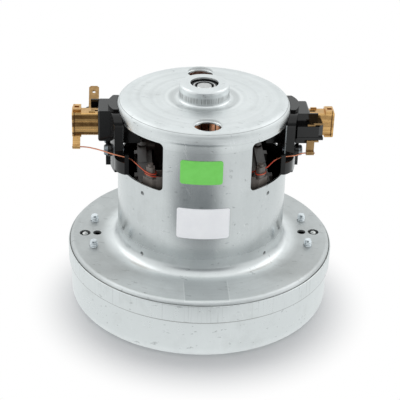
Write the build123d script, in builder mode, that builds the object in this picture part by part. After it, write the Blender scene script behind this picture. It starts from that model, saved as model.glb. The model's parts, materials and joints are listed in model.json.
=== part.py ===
"""Vacuum turbine motor: a series-wound brush motor in a steel can on a round fan case.

The motor's axis is Z and the brushes lie along X. The origin is the middle of the fan case's
underside. Each brush gear is made on the +X side, and its twin is turned half a turn about Z.
"""
import math
import os

import numpy as np
from build123d import *

os.makedirs("parts", exist_ok=True)

# Driving dimensions, in millimetres
CASE_D = 130.0
CASE_LOWER_D = 127.6
CASE_SHEET = 0.8
CASE_STEP_Z = 20.1
CASE_TOP_Z = 28.9
INLET_D = 35.0

CAN_D = 81.2
CAN_SHEET = 0.9
CAN_TOP_Z = 104.0
FLANGE_Z = 30.8
BOSS_D = 23.8
BOSS_TOP_Z = 111.3
BOSS_HOLE_D = 13.3

SHAFT_D = 8.0
BEARING_D = 22.0
BEARING_WIDTH = 7.0
UPPER_BEARING_Z = 102.9
LOWER_BEARING_Z = 21.6

CORE_LOW_Z = 38.5
CORE_TOP_Z = 67.5
ARMATURE_D = 38.8
SLOT_COUNT = 22
COMMUTATOR_D = 24.0
BRUSH_Z = 91.3

IMPELLER_D = 108.0
FIT = 0.04
FULL_TURN = 360.0
HALF_TURN = 180.0
QUARTER_TURN = 90.0

FROM_RIGHT = (("right", 0.0), ("left", HALF_TURN))
FROM_LEFT = (("left", 0.0), ("right", HALF_TURN))
FROM_FRONT = (("front", 0.0), ("back", HALF_TURN))


def turned(x, y, z, angle):
    """The point (x, y, z) turned about Z by an angle in degrees."""
    a = math.radians(angle)
    return (x * math.cos(a) - y * math.sin(a), x * math.sin(a) + y * math.cos(a), z)


def save_pair(piece, kind, places):
    """Write a piece under its own place's name, and its twin turned half a turn about Z."""
    for place, angle in places:
        twin = piece.rotate(Axis.Z, angle)
        twin.label = f"{place}_{kind}"
        export_step(twin, f"parts/{place}_{kind}.step")


def box_between(low, high, mode=Mode.ADD):
    """A box from its lowest corner to its highest one."""
    middle = [(a + b) / 2 for a, b in zip(low, high)]
    with Locations(tuple(middle)):
        Box(high[0] - low[0], high[1] - low[1], high[2] - low[2], mode=mode)


BEND_SHARE = 0.4


def bend_radii(points):
    """The radius at each inner point of a wire's route that its two runs leave room for."""
    radii = []
    for before, here, after in zip(points, points[1:], points[2:]):
        run_in = Vector(*here) - Vector(*before)
        run_out = Vector(*after) - Vector(*here)
        turn = math.radians(run_in.get_angle(run_out))
        radii.append(BEND_SHARE * min(run_in.length, run_out.length) / math.tan(turn / 2))
    return radii


# Fan case: a drawn cup with a wider band that takes the motor's flange
CASE_R = CASE_D / 2
CASE_LOWER_R = CASE_LOWER_D / 2
CASE_FLOOR_RADIUS = 4.0
CASE_STEP_DROP = 0.9
CASE_LIP_RADIUS = 0.35
INLET_R = INLET_D / 2
INLET_LIP_Z = 4.6
INLET_LIP_RADIUS = 2.2
FLOOR_RING_R = 44.0
FLOOR_RING_WIDTH = 5.0
FLOOR_RING_RISE = 0.7

with BuildPart() as fan_case:
    with BuildSketch(Plane.XZ):
        with BuildLine():
            Polyline(
                (INLET_R + INLET_LIP_RADIUS, 0),
                (FLOOR_RING_R - FLOOR_RING_WIDTH, 0),
                (FLOOR_RING_R - FLOOR_RING_WIDTH + FLOOR_RING_RISE, FLOOR_RING_RISE),
                (FLOOR_RING_R - FLOOR_RING_RISE, FLOOR_RING_RISE),
                (FLOOR_RING_R, 0),
                (CASE_LOWER_R - CASE_FLOOR_RADIUS, 0),
            )
            RadiusArc(
                (CASE_LOWER_R - CASE_FLOOR_RADIUS, 0),
                (CASE_LOWER_R, CASE_FLOOR_RADIUS),
                -CASE_FLOOR_RADIUS,
            )
            Polyline(
                (CASE_LOWER_R, CASE_FLOOR_RADIUS),
                (CASE_LOWER_R, CASE_STEP_Z - CASE_STEP_DROP),
                (CASE_R, CASE_STEP_Z),
                (CASE_R, CASE_TOP_Z),
                (CASE_R - CASE_SHEET, CASE_TOP_Z),
                (CASE_R - CASE_SHEET, CASE_STEP_Z + CASE_SHEET),
                (CASE_LOWER_R - CASE_SHEET, CASE_STEP_Z),
                (CASE_LOWER_R - CASE_SHEET, CASE_FLOOR_RADIUS),
            )
            RadiusArc(
                (CASE_LOWER_R - CASE_SHEET, CASE_FLOOR_RADIUS),
                (CASE_LOWER_R - CASE_FLOOR_RADIUS, CASE_SHEET),
                CASE_FLOOR_RADIUS - CASE_SHEET,
            )
            Polyline(
                (CASE_LOWER_R - CASE_FLOOR_RADIUS, CASE_SHEET),
                (FLOOR_RING_R + FLOOR_RING_RISE, CASE_SHEET),
                (FLOOR_RING_R, CASE_SHEET + FLOOR_RING_RISE),
                (FLOOR_RING_R - FLOOR_RING_WIDTH, CASE_SHEET + FLOOR_RING_RISE),
                (FLOOR_RING_R - FLOOR_RING_WIDTH - FLOOR_RING_RISE, CASE_SHEET),
                (INLET_R + INLET_LIP_RADIUS, CASE_SHEET),
            )
            RadiusArc(
                (INLET_R + INLET_LIP_RADIUS, CASE_SHEET),
                (INLET_R + CASE_SHEET, INLET_LIP_RADIUS),
                INLET_LIP_RADIUS - CASE_SHEET,
            )
            Polyline(
                (INLET_R + CASE_SHEET, INLET_LIP_RADIUS),
                (INLET_R + CASE_SHEET, INLET_LIP_Z),
                (INLET_R, INLET_LIP_Z),
                (INLET_R, INLET_LIP_RADIUS),
            )
            RadiusArc(
                (INLET_R, INLET_LIP_RADIUS),
                (INLET_R + INLET_LIP_RADIUS, 0),
                -INLET_LIP_RADIUS,
            )
        make_face()
    revolve(axis=Axis.Z)
    lip = fan_case.edges().filter_by(GeomType.CIRCLE).group_by(Axis.Z)[-1]
    fillet(lip, CASE_LIP_RADIUS)

fan_case.part.label = "fan_case"
export_step(fan_case.part, "parts/fan_case.step")

# Motor can: flange, body, top plate and bearing boss drawn from one sheet
CAN_R = CAN_D / 2
CAN_CAP_R = CAN_R + 0.2
CAN_CREASE_Z = 97.5
CAN_EDGE_RADIUS = 3.6
FLANGE_R = CASE_R - CASE_SHEET - FIT
FLANGE_EDGE_RADIUS = 2.0
FLANGE_RIM_Z = CASE_STEP_Z + CASE_SHEET + FIT
FLARE_RADIUS = 5.0
BOSS_R = BOSS_D / 2
BOSS_EDGE_RADIUS = 1.7
BOSS_FOOT_RADIUS = 1.2
DISH_R = 17.5
DISH_MIDDLE_R = 14.8
DISH_DROP = 0.5
BEARING_R = BEARING_D / 2

# Places on the can and its flange, shared with the pieces that fasten there
FLANGE_SCREW_X = 52.4
FLANGE_SCREW_Y = 12.7
FLANGE_SCREW_D = 4.0
PEG_X = 56.9
PEG_HOLE_D = 5.4
VENT_HOLE_X = 50.9
VENT_HOLE_D = 4.2
TOP_HOLE_Y = 31.0
TOP_HOLE_R = 6.3
TOP_RIM_DEPTH = 2.4
TOP_RIM_RADIUS = 0.8
WINDOW_LOW_Z = 72.4
WINDOW_TOP_Z = 96.4
WINDOW_FROM = 17.0
WINDOW_TO = 60.3
WINDOW_DEPTH = 8.0
WINDOW_CORNER_RADIUS = 2.3
TUBE_HOLE_WIDTH = 9.4
TUBE_HOLE_LOW_Z = 82.2
TUBE_HOLE_TOP_Z = 98.3
HOLDER_SCREW_Y = 6.5
HOLDER_SCREW_Z = 79.6
HOLDER_SCREW_D = 2.9
DIMPLE_R = 1.1
DIMPLE_ANGLE = 44.0
DIMPLE_ZS = (35.4, 67.8)
DIMPLE_OUTSET = 0.4

FLANGE_SCREWS = [
    (x, y)
    for x in (-FLANGE_SCREW_X, FLANGE_SCREW_X)
    for y in (-FLANGE_SCREW_Y, FLANGE_SCREW_Y)
]
WINDOW_TURNS = [side + turn for side in (0, HALF_TURN) for turn in (WINDOW_FROM, -WINDOW_TO)]
DIMPLE_TURNS = [side + turn for side in (0, HALF_TURN) for turn in (DIMPLE_ANGLE, -DIMPLE_ANGLE)]
ACROSS_CAN = CAN_D + FLARE_RADIUS
HANGING = (Align.CENTER, Align.CENTER, Align.MAX)
STANDING = (Align.CENTER, Align.CENTER, Align.MIN)


def can_section_line(inset):
    """Half of the can's section, from the flange's rim to the boss's hole, moved in by an inset."""
    flange_z = FLANGE_Z - inset
    top_z = CAN_TOP_Z - inset
    foot_z = top_z - DISH_DROP / 2
    boss_top_z = BOSS_TOP_Z - inset
    flange_r = FLANGE_R - inset
    can_r = CAN_R - inset
    cap_r = CAN_CAP_R - inset
    boss_r = BOSS_R - inset
    flare = FLARE_RADIUS + inset
    flange_edge = FLANGE_EDGE_RADIUS - inset
    can_edge = CAN_EDGE_RADIUS - inset
    boss_foot = BOSS_FOOT_RADIUS + inset
    boss_edge = BOSS_EDGE_RADIUS - inset
    Line((flange_r, FLANGE_RIM_Z), (flange_r, flange_z - flange_edge))
    RadiusArc((flange_r, flange_z - flange_edge), (flange_r - flange_edge, flange_z), -flange_edge)
    Line((flange_r - flange_edge, flange_z), (can_r + flare, flange_z))
    RadiusArc((can_r + flare, flange_z), (can_r, flange_z + flare), flare)
    Polyline(
        (can_r, flange_z + flare),
        (can_r, CAN_CREASE_Z),
        (cap_r, CAN_CREASE_Z + CAN_SHEET),
        (cap_r, top_z - can_edge),
    )
    RadiusArc((cap_r, top_z - can_edge), (cap_r - can_edge, top_z), -can_edge)
    Line((cap_r - can_edge, top_z), (DISH_R, top_z))
    Spline(
        (DISH_R, top_z),
        (DISH_MIDDLE_R, top_z - DISH_DROP),
        (boss_r + boss_foot, foot_z),
        tangents=((-1, 0), (-1, 0)),
    )
    RadiusArc((boss_r + boss_foot, foot_z), (boss_r, foot_z + boss_foot), boss_foot)
    Line((boss_r, foot_z + boss_foot), (boss_r, boss_top_z - boss_edge))
    RadiusArc((boss_r, boss_top_z - boss_edge), (boss_r - boss_edge, boss_top_z), -boss_edge)
    Line((boss_r - boss_edge, boss_top_z), (BOSS_HOLE_D / 2, boss_top_z))


with BuildPart() as window_cutter:
    with BuildSketch(Plane.XZ):
        with Locations((CAN_R, (WINDOW_LOW_Z + WINDOW_TOP_Z) / 2)):
            Rectangle(WINDOW_DEPTH, WINDOW_TOP_Z - WINDOW_LOW_Z)
    revolve(axis=Axis.Z, revolution_arc=WINDOW_TO - WINDOW_FROM)
    straight_edges = window_cutter.edges().filter_by(GeomType.LINE)
    fillet(straight_edges.group_by(SortBy.LENGTH)[0], WINDOW_CORNER_RADIUS)

with BuildPart() as motor_can:
    with BuildSketch(Plane.XZ):
        with BuildLine():
            can_section_line(0)
            can_section_line(CAN_SHEET)
            Line((FLANGE_R, FLANGE_RIM_Z), (FLANGE_R - CAN_SHEET, FLANGE_RIM_Z))
            Line((BOSS_HOLE_D / 2, BOSS_TOP_Z), (BOSS_HOLE_D / 2, BOSS_TOP_Z - CAN_SHEET))
        make_face()
    revolve(axis=Axis.Z)
    for turn in WINDOW_TURNS:
        add(window_cutter.part.rotate(Axis.Z, turn), mode=Mode.SUBTRACT)
    box_between(
        (-ACROSS_CAN / 2, -TUBE_HOLE_WIDTH / 2, TUBE_HOLE_LOW_Z),
        (ACROSS_CAN / 2, TUBE_HOLE_WIDTH / 2, TUBE_HOLE_TOP_Z),
        mode=Mode.SUBTRACT,
    )
    for y in (-HOLDER_SCREW_Y, HOLDER_SCREW_Y):
        with Locations(Location((0, y, HOLDER_SCREW_Z), (0, QUARTER_TURN, 0))):
            Cylinder(HOLDER_SCREW_D / 2 + FIT, ACROSS_CAN, mode=Mode.SUBTRACT)
    with Locations(*[(x, y, FLANGE_Z) for x, y in FLANGE_SCREWS]):
        Hole(FLANGE_SCREW_D / 2 + FIT, depth=2 * CAN_SHEET)
    with Locations((-PEG_X, 0, FLANGE_Z), (PEG_X, 0, FLANGE_Z)):
        Hole(PEG_HOLE_D / 2, depth=2 * CAN_SHEET)
    with Locations((-VENT_HOLE_X, 0, FLANGE_Z), (VENT_HOLE_X, 0, FLANGE_Z)):
        Hole(VENT_HOLE_D / 2, depth=2 * CAN_SHEET)
    with Locations((0, -TOP_HOLE_Y, CAN_TOP_Z), (0, TOP_HOLE_Y, CAN_TOP_Z)):
        Cylinder(TOP_HOLE_R + CAN_SHEET, TOP_RIM_DEPTH, align=HANGING)
        Hole(TOP_HOLE_R, depth=TOP_RIM_DEPTH)
    top_edges = motor_can.edges().filter_by(GeomType.CIRCLE)
    top_edges = top_edges.filter_by(lambda e: abs(e.radius - TOP_HOLE_R) < FIT)
    fillet(top_edges.group_by(Axis.Z)[-1], TOP_RIM_RADIUS)
    for turn in DIMPLE_TURNS:
        with Locations(*[turned(CAN_R + DIMPLE_OUTSET, 0, z, turn) for z in DIMPLE_ZS]):
            Sphere(DIMPLE_R, mode=Mode.SUBTRACT)

motor_can.part.label = "motor_can"
export_step(motor_can.part, "parts/motor_can.step")

# Bearing bridge: a steel strip under the flange, with the lower bearing's cup and two round pegs
BRIDGE_SHEET = 2.0
BRIDGE_TOP_Z = FLANGE_Z - CAN_SHEET
BRIDGE_LENGTH_R = 61.0
BRIDGE_WIDTH = 38.0
BRIDGE_VENT_R = 1.6
CUP_SHEET = 1.2
CUP_CORNER_RADIUS = 1.0
CUP_HOLE_R = 7.4
PEG_R = 1.7
PEG_TOP_Z = 31.2

with BuildPart() as bearing_bridge:
    with BuildSketch(Plane.XY.offset(BRIDGE_TOP_Z)):
        Circle(BRIDGE_LENGTH_R)
        Rectangle(2 * BRIDGE_LENGTH_R, BRIDGE_WIDTH, mode=Mode.INTERSECT)
    extrude(amount=-BRIDGE_SHEET)
    with BuildSketch(Plane.XY.offset(LOWER_BEARING_Z - CUP_SHEET)):
        Circle(BEARING_R + CUP_SHEET)
    extrude(amount=BRIDGE_TOP_Z - LOWER_BEARING_Z)
    cup_bottom = bearing_bridge.edges().filter_by(GeomType.CIRCLE).group_by(Axis.Z)[0]
    fillet(cup_bottom, CUP_CORNER_RADIUS)
    with Locations((0, 0, BRIDGE_TOP_Z)):
        Hole(BEARING_R + FIT, depth=BRIDGE_TOP_Z - LOWER_BEARING_Z)
        Hole(CUP_HOLE_R, depth=BRIDGE_TOP_Z)
    with Locations(*[(x, y, BRIDGE_TOP_Z) for x, y in FLANGE_SCREWS]):
        Hole(FLANGE_SCREW_D / 2 + FIT, depth=BRIDGE_SHEET)
    with Locations((-VENT_HOLE_X, 0, BRIDGE_TOP_Z), (VENT_HOLE_X, 0, BRIDGE_TOP_Z)):
        Hole(BRIDGE_VENT_R, depth=BRIDGE_SHEET)
    with Locations((-PEG_X, 0, PEG_TOP_Z - PEG_R), (PEG_X, 0, PEG_TOP_Z - PEG_R)):
        Sphere(PEG_R)

bearing_bridge.part.label = "bearing_bridge"
export_step(bearing_bridge.part, "parts/bearing_bridge.step")

# Bridge screws: pan heads under the bridge, pointed tips above the flange
BRIDGE_SCREW_HEAD_R = 3.6
BRIDGE_SCREW_HEAD_HEIGHT = 2.3
BRIDGE_SCREW_TIP_Z = 33.9
BRIDGE_SCREW_CONE_Z = 33.1
SCREW_POINT_R = 1.5
BRIDGE_UNDER_Z = BRIDGE_TOP_Z - BRIDGE_SHEET

with BuildPart() as bridge_screws:
    with BuildSketch(Plane.XY.offset(BRIDGE_UNDER_Z - BRIDGE_SCREW_HEAD_HEIGHT)):
        with Locations(*FLANGE_SCREWS):
            Circle(BRIDGE_SCREW_HEAD_R)
    extrude(amount=BRIDGE_SCREW_HEAD_HEIGHT)
    fillet(bridge_screws.edges().group_by(Axis.Z)[0], BRIDGE_SCREW_HEAD_HEIGHT / 3)
    with BuildSketch(Plane.XY.offset(BRIDGE_UNDER_Z)):
        with Locations(*FLANGE_SCREWS):
            Circle(FLANGE_SCREW_D / 2)
    extrude(amount=BRIDGE_SCREW_CONE_Z - BRIDGE_UNDER_Z)
    with Locations(*[(x, y, BRIDGE_SCREW_CONE_Z) for x, y in FLANGE_SCREWS]):
        Cone(
            FLANGE_SCREW_D / 2,
            SCREW_POINT_R,
            BRIDGE_SCREW_TIP_Z - BRIDGE_SCREW_CONE_Z,
            align=STANDING,
        )

bridge_screws.part.label = "bridge_screws"
export_step(bridge_screws.part, "parts/bridge_screws.step")

# Diffuser: a plastic disc with guide vanes on top, between the impeller and the bridge
DIFFUSER_Z = 17.8
DIFFUSER_SHEET = 1.6
DIFFUSER_R = 57.0
DIFFUSER_OUTER_R = CASE_LOWER_R - CASE_SHEET - 2 * FIT
DIFFUSER_HOLE_R = BEARING_R + CUP_SHEET + 0.3
DIFFUSER_HUB_WALL = 1.6
DIFFUSER_TOP_Z = BRIDGE_UNDER_Z
VANE_COUNT = 9
VANE_SHEET = 1.5
VANE_INNER_R = 22.0
VANE_MIDDLE_R = 42.0
VANE_MIDDLE_ANGLE = 16.0
VANE_END_ANGLE = 50.0
SCREW_POCKET_R = 4.6

with BuildPart() as diffuser:
    with BuildSketch(Plane.XY.offset(DIFFUSER_Z)):
        Circle(DIFFUSER_R)
    extrude(amount=DIFFUSER_SHEET)
    with BuildSketch(Plane.XY.offset(DIFFUSER_Z)):
        Circle(DIFFUSER_HOLE_R + DIFFUSER_HUB_WALL)
    extrude(amount=DIFFUSER_TOP_Z - DIFFUSER_Z)
    with BuildSketch(Plane.XY.offset(DIFFUSER_Z)):
        with PolarLocations(0, VANE_COUNT):
            SlotArc(
                ThreePointArc(
                    (VANE_INNER_R, 0),
                    turned(VANE_MIDDLE_R, 0, 0, VANE_MIDDLE_ANGLE),
                    turned(DIFFUSER_OUTER_R, 0, 0, VANE_END_ANGLE),
                    mode=Mode.PRIVATE,
                ),
                VANE_SHEET,
            )
        Circle(DIFFUSER_OUTER_R, mode=Mode.INTERSECT)
    extrude(amount=DIFFUSER_TOP_Z - DIFFUSER_Z)
    with Locations(*[(x, y, DIFFUSER_TOP_Z) for x, y in FLANGE_SCREWS]):
        Hole(SCREW_POCKET_R, depth=BRIDGE_SCREW_HEAD_HEIGHT + DIFFUSER_SHEET / 2)
    with Locations((0, 0, DIFFUSER_TOP_Z)):
        Hole(DIFFUSER_HOLE_R, depth=DIFFUSER_TOP_Z)

diffuser.part.label = "diffuser"
export_step(diffuser.part, "parts/diffuser.step")

# Bearings: both are the same, 8 by 22 by 7, and each piece is drawn round its bearing's middle
BALL_COUNT = 7
BALL_R = 1.98
BALL_CIRCLE_R = 7.75
RACE_PLAY = 0.15
INNER_RING_R = 6.1
OUTER_RING_INNER_R = 9.5
RING_CHAMFER = 0.3
SEAL_INNER_R = 6.45
SEAL_SHEET = 0.35
SEAL_INSET = 0.3
CAGE_SHEET = 1.1
CAGE_HEIGHT = 5.0
CAGE_PLAY = 0.06
SHAFT_R = SHAFT_D / 2
UPPER_BEARING_MIDDLE_Z = UPPER_BEARING_Z + BEARING_WIDTH / 2
LOWER_BEARING_MIDDLE_Z = LOWER_BEARING_Z + BEARING_WIDTH / 2
BEARINGS = (("upper", UPPER_BEARING_MIDDLE_Z), ("lower", LOWER_BEARING_MIDDLE_Z))

for bearing, middle_z in BEARINGS:
    low_z = middle_z - BEARING_WIDTH / 2
    with BuildPart() as outer_ring:
        with BuildSketch(Plane.XY.offset(low_z)):
            Circle(BEARING_R)
            Circle(OUTER_RING_INNER_R, mode=Mode.SUBTRACT)
        extrude(amount=BEARING_WIDTH)
        round_edges = outer_ring.edges().filter_by(GeomType.CIRCLE)
        chamfer(round_edges.group_by(SortBy.RADIUS)[-1], RING_CHAMFER)
        with Locations((0, 0, middle_z)):
            Torus(BALL_CIRCLE_R, BALL_R + RACE_PLAY, mode=Mode.SUBTRACT)
    outer_ring.part.label = f"{bearing}_bearing_outer_ring"
    export_step(outer_ring.part, f"parts/{bearing}_bearing_outer_ring.step")

    with BuildPart() as inner_ring:
        with BuildSketch(Plane.XY.offset(low_z)):
            Circle(INNER_RING_R)
            Circle(SHAFT_R + FIT, mode=Mode.SUBTRACT)
        extrude(amount=BEARING_WIDTH)
        with Locations((0, 0, middle_z)):
            Torus(BALL_CIRCLE_R, BALL_R + RACE_PLAY, mode=Mode.SUBTRACT)
    inner_ring.part.label = f"{bearing}_bearing_inner_ring"
    export_step(inner_ring.part, f"parts/{bearing}_bearing_inner_ring.step")

    with BuildPart() as seals:
        for seal_z in (low_z + SEAL_INSET, low_z + BEARING_WIDTH - SEAL_INSET - SEAL_SHEET):
            with BuildSketch(Plane.XY.offset(seal_z)):
                Circle(OUTER_RING_INNER_R - FIT)
                Circle(SEAL_INNER_R, mode=Mode.SUBTRACT)
            extrude(amount=SEAL_SHEET)
    seals.part.label = f"{bearing}_bearing_seals"
    export_step(seals.part, f"parts/{bearing}_bearing_seals.step")

    with BuildPart() as balls:
        with Locations((0, 0, middle_z)):
            with PolarLocations(BALL_CIRCLE_R, BALL_COUNT):
                Sphere(BALL_R)
    balls.part.label = f"{bearing}_bearing_balls"
    export_step(balls.part, f"parts/{bearing}_bearing_balls.step")

    with BuildPart() as cage:
        with BuildSketch(Plane.XY.offset(middle_z - CAGE_HEIGHT / 2)):
            Circle(BALL_CIRCLE_R + CAGE_SHEET / 2)
            Circle(BALL_CIRCLE_R - CAGE_SHEET / 2, mode=Mode.SUBTRACT)
        extrude(amount=CAGE_HEIGHT)
        for ball in range(BALL_COUNT):
            outward = turned(1, 0, 0, ball * FULL_TURN / BALL_COUNT)
            with Locations(Plane(origin=(0, 0, middle_z), z_dir=outward)):
                Cylinder(BALL_R + CAGE_PLAY, BEARING_R, align=STANDING, mode=Mode.SUBTRACT)
    cage.part.label = f"{bearing}_bearing_cage"
    export_step(cage.part, f"parts/{bearing}_bearing_cage.step")

# Wave washer: pushes the upper bearing away from the boss's roof
WASHER_SHEET = 0.25
WASHER_WAVES = 3
WASHER_LOW_Z = UPPER_BEARING_Z + BEARING_WIDTH
WASHER_HIGH_Z = BOSS_TOP_Z - CAN_SHEET - WASHER_SHEET
WASHER_INNER_R = 8.2
WASHER_OUTER_R = 10.2
WASHER_MIDDLE_R = (WASHER_INNER_R + WASHER_OUTER_R) / 2
WASHER_STEPS = 4
WASHER_STEP = FULL_TURN / WASHER_WAVES / WASHER_STEPS


def washer_plane(step):
    """The plane across the washer's strip at one step round it, which follows a cosine wave."""
    angle = step * WASHER_STEP
    wave = (1 - math.cos(math.radians(angle * WASHER_WAVES))) / 2
    z = WASHER_LOW_Z + WASHER_SHEET / 2 + wave * (WASHER_HIGH_Z - WASHER_LOW_Z)
    return Plane(
        origin=turned(WASHER_MIDDLE_R, 0, z, angle),
        x_dir=turned(1, 0, 0, angle),
        z_dir=turned(0, 1, 0, angle),
    )


with BuildPart() as wave_washer:
    for step in range(WASHER_WAVES * WASHER_STEPS):
        for end in (step, step + 1):
            with BuildSketch(washer_plane(end)):
                Rectangle(WASHER_OUTER_R - WASHER_INNER_R, WASHER_SHEET)
        loft(ruled=True)

wave_washer.part.label = "wave_washer"
export_step(wave_washer.part, "parts/wave_washer.step")

# Rotor: shaft, sleeve, armature, commutator
SHAFT_LOW_Z = 5.4
SHAFT_TOP_Z = 109.9
SHAFT_CHAMFER = 0.7
SLEEVE_R = 6.4
IMPELLER_BACK_Z = 15.4
IMPELLER_SHEET = 1.0

with BuildPart() as shaft:
    with BuildSketch(Plane.XY.offset(SHAFT_LOW_Z)):
        Circle(SHAFT_R)
    extrude(amount=SHAFT_TOP_Z - SHAFT_LOW_Z)
    chamfer(shaft.edges().filter_by(GeomType.CIRCLE), SHAFT_CHAMFER)

shaft.part.label = "shaft"
export_step(shaft.part, "parts/shaft.step")

with BuildPart() as spacer_sleeve:
    with BuildSketch(Plane.XY.offset(IMPELLER_BACK_Z + IMPELLER_SHEET)):
        Circle(SLEEVE_R)
        Circle(SHAFT_R + FIT, mode=Mode.SUBTRACT)
    extrude(amount=LOWER_BEARING_Z - IMPELLER_BACK_Z - IMPELLER_SHEET)

spacer_sleeve.part.label = "spacer_sleeve"
export_step(spacer_sleeve.part, "parts/spacer_sleeve.step")

# Armature core: a stack of slotted steel discs
ARMATURE_R = ARMATURE_D / 2
SLOT_FLOOR_R = 11.0
SLOT_ROOF_R = 17.9
SLOT_FLOOR_WIDTH = 1.5
SLOT_ROOF_WIDTH = 3.0
SLOT_MOUTH_WIDTH = 1.3
SLOT_PITCH = FULL_TURN / SLOT_COUNT


def slot_outline(play):
    """The corners of one armature slot along X, drawn in by a play on every side."""
    floor_half = SLOT_FLOOR_WIDTH / 2 - play
    roof_half = SLOT_ROOF_WIDTH / 2 - play
    return (
        (SLOT_FLOOR_R + play, -floor_half),
        (SLOT_ROOF_R - play, -roof_half),
        (SLOT_ROOF_R - play, roof_half),
        (SLOT_FLOOR_R + play, floor_half),
    )


with BuildPart() as armature_core:
    with BuildSketch(Plane.XY.offset(CORE_LOW_Z)):
        Circle(ARMATURE_R)
        Circle(SHAFT_R + FIT, mode=Mode.SUBTRACT)
        with PolarLocations(0, SLOT_COUNT):
            Polygon(*slot_outline(0), align=None, mode=Mode.SUBTRACT)
        with PolarLocations((SLOT_ROOF_R + ARMATURE_R) / 2, SLOT_COUNT):
            Rectangle(2 * (ARMATURE_R - SLOT_ROOF_R), SLOT_MOUTH_WIDTH, mode=Mode.SUBTRACT)
    extrude(amount=CORE_TOP_Z - CORE_LOW_Z)

armature_core.part.label = "armature_core"
export_step(armature_core.part, "parts/armature_core.step")

# Armature winding: bars of wire in the slots, joined by a fluted bundle at each end
WINDING_PLAY = 0.15
WINDING_INNER_R = 5.0
WINDING_OUTER_R = 17.6
WINDING_LOW_Z = 31.4
WINDING_TOP_Z = 79.5
WINDING_NECK_R = 12.6
WINDING_NECK_Z = 82.6
WINDING_END_GAP = 0.6
WINDING_CORNER_RADIUS = 2.5
FLUTE_R = 0.9
FLUTE_CIRCLE_R = WINDING_OUTER_R + 0.45

with BuildPart() as armature_winding:
    with BuildSketch(Plane.XY.offset(CORE_LOW_Z - WINDING_END_GAP)):
        with PolarLocations(0, SLOT_COUNT):
            Polygon(*slot_outline(WINDING_PLAY), align=None)
    extrude(amount=CORE_TOP_Z - CORE_LOW_Z + 2 * WINDING_END_GAP)
    with BuildSketch(Plane.XZ):
        with BuildLine():
            Polyline(
                (WINDING_INNER_R, WINDING_LOW_Z),
                (WINDING_OUTER_R, WINDING_LOW_Z),
                (WINDING_OUTER_R, CORE_LOW_Z - WINDING_END_GAP),
                (WINDING_INNER_R, CORE_LOW_Z - WINDING_END_GAP),
                close=True,
            )
        make_face()
    revolve(axis=Axis.Z)
    with BuildSketch(Plane.XZ):
        with BuildLine():
            Polyline(
                (WINDING_INNER_R, CORE_TOP_Z + WINDING_END_GAP),
                (WINDING_OUTER_R, CORE_TOP_Z + WINDING_END_GAP),
                (WINDING_OUTER_R, (CORE_TOP_Z + WINDING_TOP_Z) / 2),
                (WINDING_NECK_R, WINDING_TOP_Z),
                (WINDING_NECK_R, WINDING_NECK_Z),
                (WINDING_INNER_R, WINDING_NECK_Z),
                close=True,
            )
        make_face()
    revolve(axis=Axis.Z)
    round_edges = armature_winding.edges().filter_by(GeomType.CIRCLE)
    fillet(round_edges.group_by(Axis.Z)[0].sort_by(SortBy.RADIUS)[-1], WINDING_CORNER_RADIUS)
    for low_z, top_z in ((WINDING_LOW_Z, CORE_LOW_Z), (CORE_TOP_Z, WINDING_TOP_Z)):
        with Locations((0, 0, (low_z + top_z) / 2)):
            with PolarLocations(FLUTE_CIRCLE_R, SLOT_COUNT, start_angle=SLOT_PITCH / 2):
                Cylinder(FLUTE_R, top_z - low_z, mode=Mode.SUBTRACT)

armature_winding.part.label = "armature_winding"
export_step(armature_winding.part, "parts/armature_winding.step")

# Commutator: copper bars with a hook each, on a moulded hub
COMMUTATOR_R = COMMUTATOR_D / 2
COMMUTATOR_LOW_Z = 83.0
COMMUTATOR_TOP_Z = 98.6
HUB_R = 9.6
HUB_OVERHANG = 1.0
BAR_GAP = 0.6
BAR_HEIGHT = COMMUTATOR_TOP_Z - COMMUTATOR_LOW_Z
HOOK_R = 13.4
HOOK_HEIGHT = 2.2

with BuildPart() as commutator_hub:
    with BuildSketch(Plane.XY.offset(COMMUTATOR_LOW_Z)):
        Circle(HUB_R)
        Circle(SHAFT_R + FIT, mode=Mode.SUBTRACT)
    extrude(amount=COMMUTATOR_TOP_Z + HUB_OVERHANG - COMMUTATOR_LOW_Z)
    fillet(commutator_hub.edges().filter_by(GeomType.CIRCLE).group_by(Axis.Z)[-1], HUB_OVERHANG / 2)

commutator_hub.part.label = "commutator_hub"
export_step(commutator_hub.part, "parts/commutator_hub.step")

with BuildPart() as commutator_bars:
    for bar_r, height in ((COMMUTATOR_R, BAR_HEIGHT), (HOOK_R, HOOK_HEIGHT)):
        with BuildSketch(Plane.XY.offset(COMMUTATOR_LOW_Z)):
            Circle(bar_r)
            Circle(HUB_R + FIT, mode=Mode.SUBTRACT)
            with PolarLocations(HOOK_R, SLOT_COUNT):
                Rectangle(HOOK_R, BAR_GAP, mode=Mode.SUBTRACT)
        extrude(amount=height)

commutator_bars.part.label = "commutator_bars"
export_step(commutator_bars.part, "parts/commutator_bars.step")

# Impeller: two sheet discs with curved blades between them, clamped on the shaft by a nut
IMPELLER_R = IMPELLER_D / 2
EYE_R = 20.0
EYE_LIP_Z = 2.6
EYE_BEND_Z = 5.2
FRONT_SHOULDER_R = 26.0
FRONT_SHOULDER_Z = 7.0
FRONT_RIM_Z = 9.0
BLADE_COUNT = 9
BLADE_SHEET = 0.9
BLADE_INNER_R = 23.0
BLADE_MIDDLE_ANGLE = 22.0
BLADE_END_ANGLE = 58.0
BLADE_OUTER_R = IMPELLER_R - 1.0
BLADE_MIDDLE_R = (BLADE_INNER_R + BLADE_OUTER_R) / 2
BLADE_PLAY = 0.02
NUT_WIDTH = 13.0
NUT_HEIGHT = 6.5
NUT_WASHER_R = 11.0
NUT_WASHER_SHEET = 1.4

with BuildPart() as impeller_back_plate:
    with BuildSketch(Plane.XY.offset(IMPELLER_BACK_Z)):
        Circle(IMPELLER_R)
        Circle(SHAFT_R + FIT, mode=Mode.SUBTRACT)
    extrude(amount=IMPELLER_SHEET)

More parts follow.
